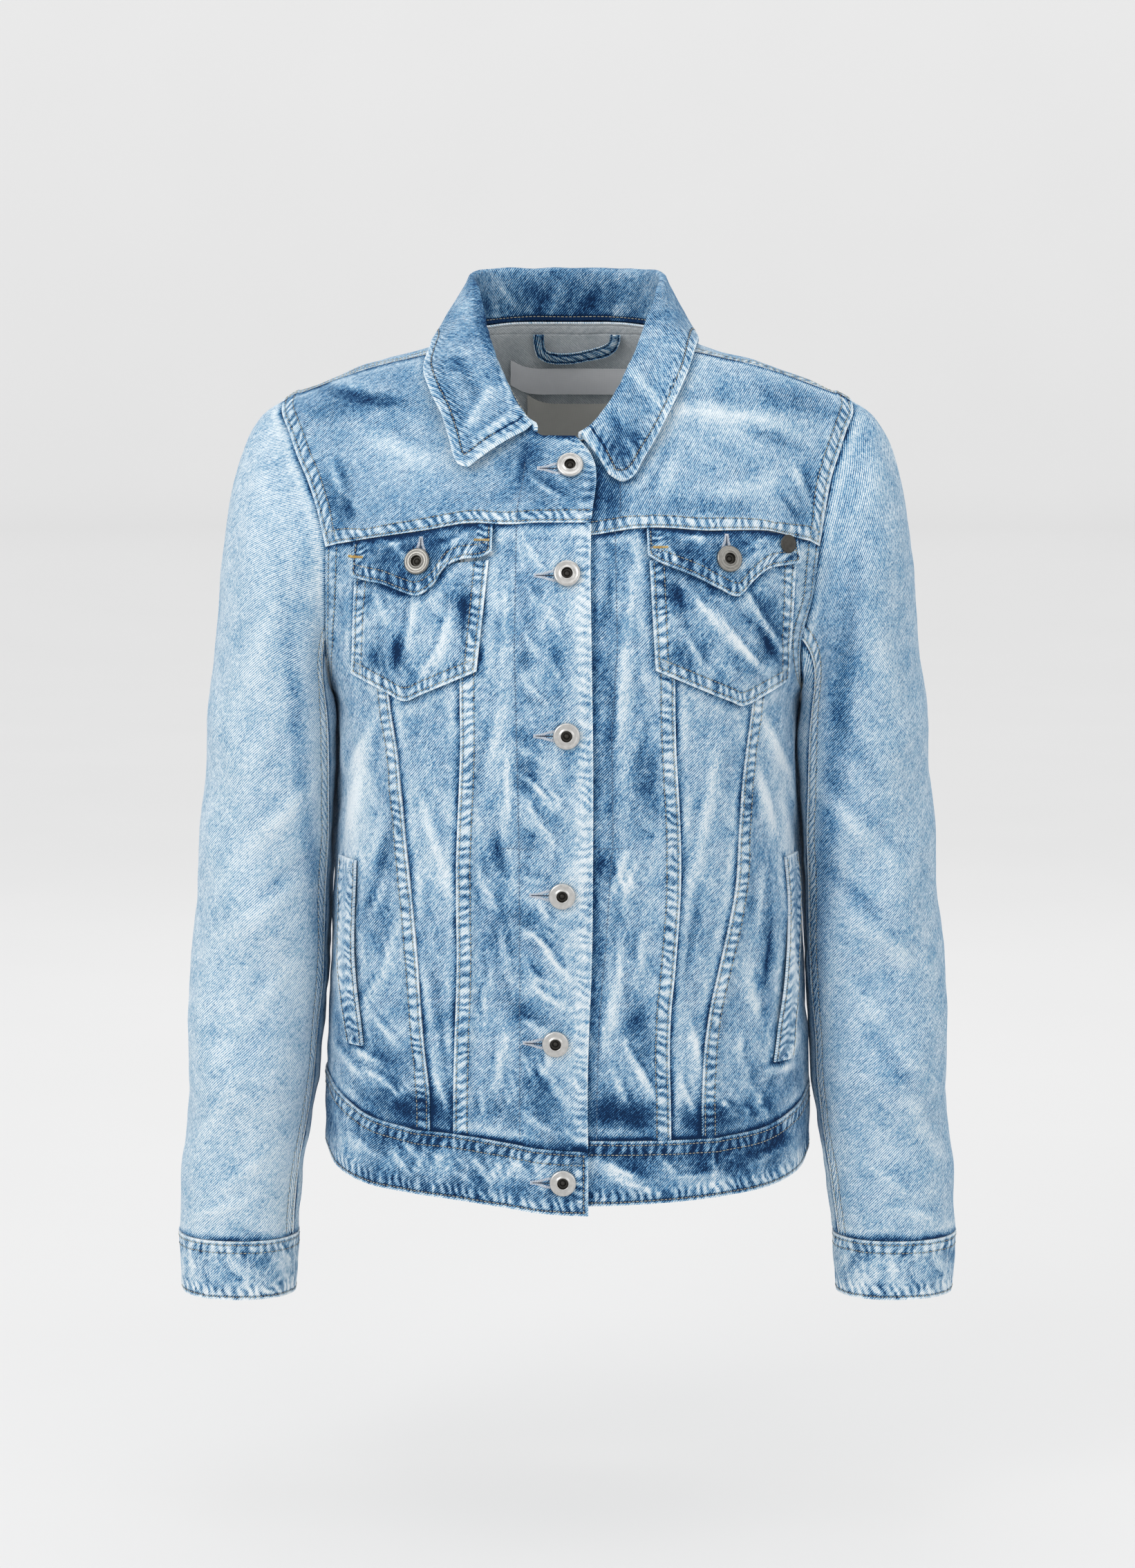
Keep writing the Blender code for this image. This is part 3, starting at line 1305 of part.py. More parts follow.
def turned(name, profile, finish, steps=BUTTON_STEPS):
    """Turns a profile, given top to bottom at +X, about the Z axis."""
    mesh = bpy.data.meshes.new(name)
    points = [(radius * MM, 0, height * MM) for radius, height in profile]
    mesh.from_pydata(points, [(k, k + 1) for k in range(len(points) - 1)], [])
    thing = add_object(name, mesh, finish)
    screw = thing.modifiers.new("Turn", "SCREW")
    screw.steps = steps
    screw.render_steps = steps
    screw.use_merge_vertices = True
    screw.merge_threshold = 0.00001
    screw.use_smooth_shade = True
    return thing


def stand_on(thing, spot, direction):
    """Places a turned piece on a spot, its axis along a direction."""
    thing.location = Vector(spot) * MM
    thing.rotation_euler = Vector(direction).to_track_quat("Z", "Y").to_euler()


def add_button(name, spot, direction):
    """Makes a ring-faced tack button whose centre is a hollow with a small domed tack."""
    radius = BUTTON_RADIUS
    profile = (
        (0.0, 1.9),
        (1.5, 1.5),
        (2.5, 1.2),
        (3.2, 2.9),
        (6.6, 3.1),
        (radius - 0.4, 2.6),
        (radius, 1.4),
        (radius - 0.8, 0.3),
        (0.0, 0.3),
    )
    stand_on(turned(name, profile, NICKEL), spot, direction)


def make_buttons():
    """Makes the front and flap buttons and the stud."""
    for button in FRONT_BUTTONS:
        point = on_front(button.x, button.z)
        direction = outward(point)
        rise = button.rise + relief(point)
        add_button(button.name, point + rise * direction, direction)
    point = on_front(STUD.x, STUD.z)
    direction = outward(point)
    profile = ((0.0, 1.5), (0.6, 1.45), (0.9, 1.0), (1.0, 0.3), (0.0, 0.3))
    stud = turned(STUD.name, [(r, h) for r, h in profile], DARK_METAL, 16)
    stand_on(stud, point + STUD.rise * direction, direction)
    stud.scale = (STUD_HALF[0], STUD_HALF[1], 1.0)


# ---------------------------------------------------------------------------------------------
# Assembly
# ---------------------------------------------------------------------------------------------


def start_scene():
    """Clears the scene and adds the jacket's collection and origin."""
    for thing in list(bpy.data.objects):
        bpy.data.objects.remove(thing, do_unlink=True)
    collection = bpy.data.collections.new("denim_jacket")
    bpy.context.scene.collection.children.link(collection)
    origin = bpy.data.objects.new("jacket_origin", None)
    collection.objects.link(origin)


def main():
    """Makes every piece of the jacket."""
    start_scene()
    seam = make_torso()
    make_waistband(seam)
    for side in SIDES:
        make_sleeve(side)
        make_cuff(side)
        make_pocket(side)
        make_flap(side)
        make_welt(side)
    make_collar()
    make_labels()
    make_hanger_loop()
    make_buttons()


main()
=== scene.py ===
"""Looks of a light-washed denim jacket, dressed piece by piece over its rigid frame.

Lengths are millimetres until a mesh is made. The wearer's right is -X and the front faces -Y.
"""

from __future__ import annotations

import json
import logging
import math
from dataclasses import dataclass, field, replace
from enum import Enum

import bmesh
import bpy
import numpy as np
from mathutils import Vector
from mathutils.bvhtree import BVHTree
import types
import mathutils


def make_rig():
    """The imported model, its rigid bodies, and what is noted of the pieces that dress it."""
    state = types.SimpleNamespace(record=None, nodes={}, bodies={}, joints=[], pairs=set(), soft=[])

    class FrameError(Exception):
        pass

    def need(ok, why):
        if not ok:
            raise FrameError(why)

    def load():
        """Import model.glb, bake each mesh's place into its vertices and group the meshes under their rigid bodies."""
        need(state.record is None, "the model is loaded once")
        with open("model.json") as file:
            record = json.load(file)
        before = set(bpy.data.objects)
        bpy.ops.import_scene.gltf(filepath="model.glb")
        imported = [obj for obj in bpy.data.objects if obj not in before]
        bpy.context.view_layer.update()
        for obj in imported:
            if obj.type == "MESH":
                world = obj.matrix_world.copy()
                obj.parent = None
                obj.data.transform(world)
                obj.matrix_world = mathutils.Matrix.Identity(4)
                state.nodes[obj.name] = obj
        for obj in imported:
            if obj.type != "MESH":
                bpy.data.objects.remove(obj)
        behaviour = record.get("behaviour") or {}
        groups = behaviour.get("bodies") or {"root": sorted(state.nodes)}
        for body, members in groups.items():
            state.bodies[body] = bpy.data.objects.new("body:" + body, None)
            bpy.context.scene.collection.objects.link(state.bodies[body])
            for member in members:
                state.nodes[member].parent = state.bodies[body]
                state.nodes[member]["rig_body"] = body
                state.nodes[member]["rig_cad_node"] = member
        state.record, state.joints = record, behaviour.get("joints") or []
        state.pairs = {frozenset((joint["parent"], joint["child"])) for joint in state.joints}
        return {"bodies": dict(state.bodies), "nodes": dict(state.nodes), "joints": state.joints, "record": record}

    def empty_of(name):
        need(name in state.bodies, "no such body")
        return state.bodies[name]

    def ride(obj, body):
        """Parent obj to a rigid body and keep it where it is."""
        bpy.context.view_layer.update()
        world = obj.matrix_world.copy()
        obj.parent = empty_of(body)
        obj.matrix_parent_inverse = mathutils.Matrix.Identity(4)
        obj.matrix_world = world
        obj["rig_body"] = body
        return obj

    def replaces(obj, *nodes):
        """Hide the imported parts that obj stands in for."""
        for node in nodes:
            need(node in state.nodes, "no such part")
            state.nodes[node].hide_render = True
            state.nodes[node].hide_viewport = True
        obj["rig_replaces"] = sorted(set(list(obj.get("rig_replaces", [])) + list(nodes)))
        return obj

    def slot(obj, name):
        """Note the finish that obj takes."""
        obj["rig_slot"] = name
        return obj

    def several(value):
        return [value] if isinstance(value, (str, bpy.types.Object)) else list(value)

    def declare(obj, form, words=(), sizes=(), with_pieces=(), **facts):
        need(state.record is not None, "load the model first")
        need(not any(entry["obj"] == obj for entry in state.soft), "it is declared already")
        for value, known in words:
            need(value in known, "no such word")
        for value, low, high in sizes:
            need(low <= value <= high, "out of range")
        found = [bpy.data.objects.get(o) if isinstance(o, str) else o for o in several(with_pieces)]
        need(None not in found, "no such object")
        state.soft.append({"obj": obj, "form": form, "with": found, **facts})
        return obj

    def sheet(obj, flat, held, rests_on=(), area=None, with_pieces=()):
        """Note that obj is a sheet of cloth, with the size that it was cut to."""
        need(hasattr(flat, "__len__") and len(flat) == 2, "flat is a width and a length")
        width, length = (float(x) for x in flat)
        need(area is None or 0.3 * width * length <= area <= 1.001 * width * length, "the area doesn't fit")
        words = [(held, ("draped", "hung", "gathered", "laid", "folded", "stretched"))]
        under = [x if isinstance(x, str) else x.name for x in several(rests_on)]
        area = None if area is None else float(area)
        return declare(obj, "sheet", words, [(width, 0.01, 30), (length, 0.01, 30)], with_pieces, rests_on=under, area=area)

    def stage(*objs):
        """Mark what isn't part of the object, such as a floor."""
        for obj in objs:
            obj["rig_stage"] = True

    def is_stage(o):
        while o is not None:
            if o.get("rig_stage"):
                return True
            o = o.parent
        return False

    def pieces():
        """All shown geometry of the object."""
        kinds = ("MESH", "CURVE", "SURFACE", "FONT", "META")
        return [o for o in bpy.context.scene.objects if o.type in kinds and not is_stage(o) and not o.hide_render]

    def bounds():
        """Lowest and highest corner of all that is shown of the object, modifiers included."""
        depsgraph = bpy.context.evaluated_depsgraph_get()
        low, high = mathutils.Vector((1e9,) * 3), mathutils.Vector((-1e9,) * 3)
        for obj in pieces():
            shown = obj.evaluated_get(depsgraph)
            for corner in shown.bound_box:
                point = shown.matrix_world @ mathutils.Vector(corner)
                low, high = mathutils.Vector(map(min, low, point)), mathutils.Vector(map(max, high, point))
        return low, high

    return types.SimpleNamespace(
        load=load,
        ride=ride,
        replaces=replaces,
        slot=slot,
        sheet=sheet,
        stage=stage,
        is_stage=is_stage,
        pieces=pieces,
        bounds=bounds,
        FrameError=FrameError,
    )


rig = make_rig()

LOG = logging.getLogger("denim_jacket")
MM = 0.001
# The usual size of a shell's cells, a distance that counts as out of reach, and a full turn.
CELL, FAR_OFF, TURN = 3.6, 60.0, 6.283
SIZE_FILE = "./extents.json"

Triple = tuple[float, float, float]
Stops = tuple[tuple[float, Triple], ...]
Path = tuple[tuple[float, float], ...]
Faces = tuple[np.ndarray, np.ndarray]
Socket, Finish, Thing = bpy.types.NodeSocket, bpy.types.Material, bpy.types.Object
Solids = dict[str, Thing]


class Border(Enum):
    """The four borders of a cloth piece as it is seen from outside."""

    TOP = "top"
    BOTTOM = "bottom"
    LEFT = "left"
    RIGHT = "right"


class Edge(Enum):
    """How a border is sewn: a raised fell, a turned hem, the flat side of a seam, or plain."""

    FELL = "fell"
    HEM = "hem"
    UNDER = "under"
    PLAIN = "plain"


class Zone(Enum):
    """Where a crease lies."""

    FRONT = "front"
    BACK = "back"
    SLEEVE_FRONT = "sleeve_front"
    SLEEVE_BACK = "sleeve_back"
    COLLAR = "collar"


# --- Creases ---

@dataclass(frozen=True)
class Mark:
    """Something drawn on the cloth, at a place seen from the front or the back."""

    zone: Zone
    x: float
    z: float

    @classmethod
    def listed(cls, zone: Zone, *rows: tuple[float, ...]) -> tuple["Mark", ...]:
        """Makes the marks of one zone from rows of their numbers."""
        return tuple(cls(zone, *row) for row in rows)

    def turned(self, x: np.ndarray, z: np.ndarray, degrees: float) -> Faces:
        """Gives how far places lie along and off a line through the mark.

        Args:
            x: places across.
            z: heights of the places.
            degrees: the line's slope.

        Returns:
            The distances along the line and off it.
        """
        angle = math.radians(degrees)
        run = (x - self.x) * math.cos(angle) + (z - self.z) * math.sin(angle)
        off = -(x - self.x) * math.sin(angle) + (z - self.z) * math.cos(angle)
        return run, off


@dataclass(frozen=True)
class Crease(Mark):
    """A soft ridge, or a trough where its height is negative."""

    length: float
    width: float
    height: float
    angle: float
    bend: float = 0.0

    def at(self, x: np.ndarray, z: np.ndarray) -> np.ndarray:
        """Gives the crease's height in millimetres at places across and up."""
        run, off = self.turned(x, z, self.angle)
        half = self.length / 2
        off = off - self.bend * (run / half) ** 2
        fade = np.clip(1 - (run / half) ** 2, 0, 1) ** 1.5
        crest = np.exp(-((off / self.width) ** 2))
        lee = np.exp(-(((off - 1.7 * self.width) / self.width) ** 2))
        return self.height * fade * (crest - 0.45 * lee)


CREASES: tuple[Crease, ...] = (
    # Lapped front, from the facing's stitches to its edge.
    *Crease.listed(
        Zone.FRONT, (-19, -90, 24, 1.9, 0.9, -36, 2), (-8, -97, 24, 1.9, 0.8, -28),
        (-4, -86, 16, 1.8, 0.7, -50), (-21, -139, 36, 1.7, 1.0, -52, 2),
        (-12, -150, 26, 2.0, -0.8, -60), (-24, -163, 20, 1.8, 0.9, -58),
        (-10, -178, 34, 1.9, 0.8, -62), (-24, -196, 30, 1.9, 0.9, -62),
        (-8, -214, 34, 2.0, 0.8, -66), (-22, -228, 24, 1.8, 0.8, -40),
        (-23, -270, 22, 1.7, 1.0, -16, 2), (-20, -292, 50, 1.8, 1.3, -46, -5),
        (-7, -300, 44, 1.8, 1.1, -62, -3), (-24, -306, 26, 1.8, 0.9, -66),
        (-14, -322, 34, 2.0, 0.9, -54), (-23, -352, 20, 1.6, 1.0, -12),
        (-15, -376, 30, 1.7, 1.0, -58, 3), (-16, -396, 46, 1.8, 1.4, -46, -5),
        (-9, -408, 44, 1.8, 1.1, -50, 4), (-22, -417, 24, 1.7, 1.0, -40, 4),
        (-12, -432, 40, 1.8, 1.1, -34, 4), (-22, -450, 26, 1.7, 1.1, -26),
        (-14, -474, 34, 1.8, 1.1, 66), (-24, -482, 26, 1.7, 0.9, -70),
        (-8, -490, 40, 2.2, 0.9, -60), (-18, -516, 40, 1.9, 1.1, -32, 3),
        (2, -522, 26, 1.9, 0.8, -40),
        # Left front between its edge and the inner seam.
        (27, -165, 60, 3.0, -0.7, 86), (42, -170, 70, 2.6, 0.7, 84),
        (36, -232, 80, 2.4, 0.8, 86), (50, -262, 50, 2.4, -0.8, 74),
        (34, -350, 44, 1.9, 1.3, 74, 2), (41, -352, 36, 1.9, 1.1, 66),
        (24, -348, 24, 1.8, 0.9, 60), (49, -400, 60, 2.4, 0.8, 82), (33, -424, 70, 2.0, 1.2, 86),
        (26, -450, 50, 1.9, 1.1, 84), (44, -474, 44, 2.0, 1.1, -64), (52, -486, 44, 1.9, 1.2, -66),
        (36, -494, 40, 1.9, 1.1, -66), (60, -505, 26, 1.7, 1.0, 82),
        # Right front between the facing's stitches and the inner seam.
        (-52, -150, 60, 2.8, 0.8, 86), (-42, -176, 60, 2.4, 0.7, 88),
        (-40, -290, 90, 2.2, 0.9, 86), (-50, -262, 60, 2.6, 0.8, 80),
        (-45, -338, 40, 3.4, -1.0, -74), (-54, -360, 50, 2.4, 0.9, -64, 3),
        (-42, -402, 60, 2.2, 0.8, -78), (-54, -428, 50, 2.2, 0.9, 78),
        (-46, -474, 60, 2.2, 1.0, 80), (-40, -500, 40, 2.0, 0.9, 70),
        (-56, -500, 30, 1.9, 1.0, 84),
        # Wedges.
        (-88, -330, 120, 3.2, 0.8, -72), (-96, -420, 70, 2.8, 0.8, -80),
        (-82, -470, 60, 2.6, -0.8, -84), (-84, -494, 36, 2.0, 1.0, -72),
        (92, -310, 120, 3.2, 0.8, 80), (82, -400, 80, 2.8, -0.7, 80),
        (86, -466, 60, 2.4, 0.9, -76), (80, -498, 30, 2.0, 1.0, -66),
        # Side fronts.
        (-136, -262, 60, 3.0, 0.8, 62), (-142, -300, 90, 4.0, 1.0, 80),
        (-122, -330, 60, 3.0, -0.8, 74), (-126, -366, 50, 2.4, 1.0, 70),
        (-118, -398, 60, 2.4, 0.9, 74), (-130, -426, 40, 2.2, 1.0, 56),
        (-122, -452, 40, 2.0, 1.0, -50), (-134, -470, 36, 2.0, 1.1, -36, 3),
        (-124, -486, 44, 2.0, 1.2, -32, -3), (-112, -494, 30, 1.9, 1.0, 40),
        (-146, -474, 40, 2.2, 1.0, -50), (-152, -400, 90, 2.4, 0.9, 86),
        (138, -262, 60, 3.0, 0.9, -64), (132, -300, 70, 3.2, 1.0, -74),
        (146, -320, 60, 3.0, 0.8, -80), (128, -366, 60, 2.6, 1.0, 84),
        (134, -400, 70, 2.6, -1.0, 84), (124, -430, 50, 2.2, 1.0, -78),
        (116, -470, 60, 2.0, 1.1, -82), (106, -503, 26, 1.6, 1.5, -48),
        (128, -500, 34, 1.8, 1.4, -64), (118, -506, 24, 1.6, 1.2, -60),
        (140, -478, 34, 2.0, 1.2, 20, -3), (148, -470, 50, 2.2, 1.0, 70),
        (150, -400, 90, 2.4, 0.9, -86),
        # Waistband.
        (-112, -540, 34, 2.0, 1.0, -58, 4), (-98, -541, 26, 1.8, 1.2, 54, 4),
        (-86, -536, 24, 1.8, 1.1, 50), (-104, -532, 24, 1.8, 1.0, -44),
        (-58, -544, 26, 1.8, 1.2, -56), (-48, -547, 30, 1.8, 1.1, 56, 3),
        (-38, -545, 26, 1.8, 1.1, 50), (-30, -545, 26, 1.7, 1.0, -56),
        (-70, -550, 30, 2.0, 0.9, -30), (-18, -558, 26, 1.8, 0.9, 20), (4, -552, 26, 1.8, 1.0, 66),
        (34, -546, 44, 1.9, 1.3, -26, 2), (44, -556, 44, 1.9, 1.1, -18),
        (66, -542, 30, 1.8, 1.1, -50), (84, -550, 40, 2.0, 0.9, 6), (96, -538, 26, 1.8, 1.2, -74),
        (112, -534, 30, 1.9, 1.0, 40), (134, -536, 40, 2.4, 0.9, 30),
        (-134, -532, 40, 2.2, 0.9, -36),
        # Yokes and chest.
        (-135, -32, 90, 4.0, -0.9, -10, 4), (-112, -66, 60, 6.0, 0.6, -24),
        (-154, -86, 40, 3.0, 1.0, -70), (-146, -104, 26, 2.4, -0.8, -60),
        (-34, -56, 20, 2.0, 0.9, 20), (-30, -76, 30, 2.4, -0.8, 80),
        (100, -42, 90, 5.0, 0.8, -8, -3), (138, -58, 60, 4.0, -0.8, -24),
        (116, -92, 60, 5.0, 0.5, 16), (156, -92, 40, 3.0, 1.0, -70),
        (148, -104, 26, 2.4, -0.8, -56), (66, -84, 40, 3.4, 0.7, 70),
        # Flaps and pockets.
        (-120, -128, 24, 1.8, 1.0, -20), (-108, -138, 24, 1.8, 1.0, -46),
        (-76, -128, 30, 1.8, 1.1, 26, 3), (-68, -136, 24, 1.8, 1.0, 60),
        (-84, -142, 18, 1.6, 0.9, 30), (70, -136, 24, 1.8, 1.0, -56),
        (86, -126, 24, 1.8, 1.0, -16), (124, -130, 30, 1.8, 1.1, 24, 3),
        (118, -142, 26, 1.8, 1.2, 40), (92, -146, 18, 1.6, 0.9, -40),
        (-124, -172, 30, 2.4, 1.0, -70), (-104, -182, 50, 2.6, 1.0, 82),
        (-82, -190, 50, 2.6, 0.9, 74), (-114, -202, 30, 3.0, -1.0, 80),
        (-92, -208, 30, 2.2, 0.9, 60), (-70, -176, 40, 2.4, -0.9, 86),
        (94, -176, 60, 2.4, 1.2, -52, -2), (110, -190, 70, 2.4, 1.3, -50, 2),
        (128, -178, 60, 2.0, 1.4, -58, 2), (120, -204, 44, 2.4, 1.0, -44),
        (134, -196, 40, 3.0, -1.2, -60), (84, -200, 40, 2.4, 0.9, -62),
        (76, -170, 40, 2.4, -0.9, -80),
    ),
    # Sleeves, from the front.
    *Crease.listed(
        Zone.SLEEVE_FRONT, (-196, -110, 110, 8.0, 0.5, -70), (-206, -200, 110, 8.0, 0.5, 70),
        (-190, -262, 90, 6.0, -0.7, 60), (-180, -300, 70, 5.0, 0.9, 46),
        (-202, -322, 90, 6.0, 0.8, 40), (-186, -350, 70, 5.0, -0.9, 40),
        (-206, -376, 90, 6.0, 0.8, 36), (-192, -420, 70, 5.0, 0.8, 50),
        (-212, -462, 80, 6.0, -0.7, 50), (-232, -506, 70, 5.0, 0.8, 62),
        (-212, -546, 60, 4.0, 1.0, 40), (-232, -572, 50, 3.2, 1.1, 16),
        (-212, -588, 40, 3.0, -1.1, -10), (-238, -594, 30, 2.6, 1.0, -20),
        (196, -110, 110, 8.0, 0.5, 70), (206, -200, 110, 8.0, 0.5, -70),
        (192, -264, 90, 6.0, -0.7, -60), (182, -306, 70, 5.0, 0.9, -46),
        (204, -330, 90, 6.0, 0.8, -42), (190, -360, 70, 5.0, -0.9, -42),
        (208, -392, 90, 6.0, 0.8, -38), (196, -432, 70, 5.0, 0.8, -50),
        (216, -474, 80, 6.0, -0.7, -52), (236, -516, 70, 5.0, 0.8, -62),
        (212, -552, 60, 4.0, 1.0, -38), (234, -576, 50, 3.2, 1.1, -14),
        (212, -590, 40, 3.0, -1.1, 12), (240, -598, 30, 2.6, 1.0, 20),
        (-226, -634, 44, 2.0, 1.1, -30), (-210, -630, 30, 2.0, 1.0, 46),
        (-244, -630, 30, 2.0, 1.0, 40), (226, -634, 44, 2.0, 1.1, 30),
        (210, -630, 30, 2.0, 1.0, -46), (246, -630, 30, 2.0, 1.0, -40),
    ),
    # Sleeves, from behind.
    *Crease.listed(
        Zone.SLEEVE_BACK, (-190, -120, 70, 9.0, 0.9, -64), (-200, -230, 70, 8.0, 1.0, 40),
        (-192, -280, 80, 6.0, 1.2, -30), (-204, -316, 80, 6.0, -1.2, 24),
        (-198, -350, 80, 6.0, 1.2, -26), (-210, -420, 70, 6.0, 1.0, 44),
        (-214, -500, 60, 5.0, 1.1, -36), (-222, -546, 60, 4.0, -1.1, 14),
        (-216, -566, 50, 3.5, 1.1, -10), (190, -120, 70, 9.0, 0.9, 64),
        (200, -226, 70, 8.0, 1.0, -40), (194, -276, 80, 6.0, 1.2, 28),
        (204, -320, 80, 6.0, -1.2, -26), (200, -356, 80, 6.0, 1.2, 24),
        (212, -424, 70, 6.0, 1.0, -46), (216, -504, 60, 5.0, 1.1, 34),
        (224, -548, 60, 4.0, -1.1, -12), (218, -568, 50, 3.5, 1.1, 12),
    ),
    # Back.
    *Crease.listed(
        Zone.BACK, (-110, -170, 70, 6.0, 0.9, 66), (112, -174, 70, 6.0, 0.9, -64),
        (-60, -180, 90, 7.0, 0.8, 78), (58, -186, 90, 7.0, -0.8, -80),
        (0, -260, 110, 6.0, 0.9, 12, 6), (-30, -320, 100, 6.0, -0.9, -14, 5),
        (34, -340, 100, 6.0, 1.0, 10, -5), (-20, -390, 100, 6.0, 1.0, -10, 5),
        (40, -430, 80, 5.0, -0.9, 16), (-110, -300, 70, 5.0, 1.0, -50),
        (112, -306, 70, 5.0, 1.0, 50), (-104, -400, 70, 5.0, 0.9, 60),
        (106, -404, 70, 5.0, 0.9, -58), (-50, -466, 40, 3.0, 1.0, 82),
        (-22, -470, 34, 2.8, 0.9, -84), (8, -468, 38, 3.0, 1.0, 88), (34, -470, 34, 2.8, 0.9, 80),
        (56, -466, 38, 3.0, 1.0, -80), (-96, -464, 38, 3.0, 0.9, 74),
        (98, -462, 38, 3.0, 0.9, -74), (-60, -508, 40, 2.6, 1.0, -46), (0, -510, 44, 2.6, 1.0, 34),
        (64, -508, 40, 2.6, 1.0, 46), (-110, -506, 40, 2.6, 1.0, 40),
        (108, -506, 40, 2.6, 1.0, -40), (0, -60, 150, 9.0, 0.8, 0, -8),
    ),
    # Collar.
    *Crease.listed(
        Zone.COLLAR, (-60, -40, 50, 3.4, 0.7, 60), (-48, -50, 40, 2.6, 0.9, 34),
        (-66, -20, 50, 4.0, -0.6, -60), (56, -30, 60, 3.4, 0.7, -50), (40, -62, 30, 2.6, 0.9, -60),
        (34, -52, 30, 2.6, -0.7, -64), (-10, 30, 50, 3.4, 0.6, 60), (34, 26, 40, 3.4, 0.7, 64),
        (-40, 34, 40, 3.0, 0.6, -56), (16, 36, 40, 3.0, -0.6, 50),
    ),
)


@dataclass(frozen=True)
class Shade(Mark):
    """A soft patch painted darker or paler: partly the wash's own, partly painted shade."""

    across: float
    along: float
    turn: float
    tone: float

    def at(self, x: np.ndarray, z: np.ndarray) -> np.ndarray:
        """Gives the patch's tone at places across and up."""
        run, off = self.turned(x, z, self.turn)
        return self.tone * np.exp(-(((run / self.across) ** 2 + (off / self.along) ** 2) ** 1.3))


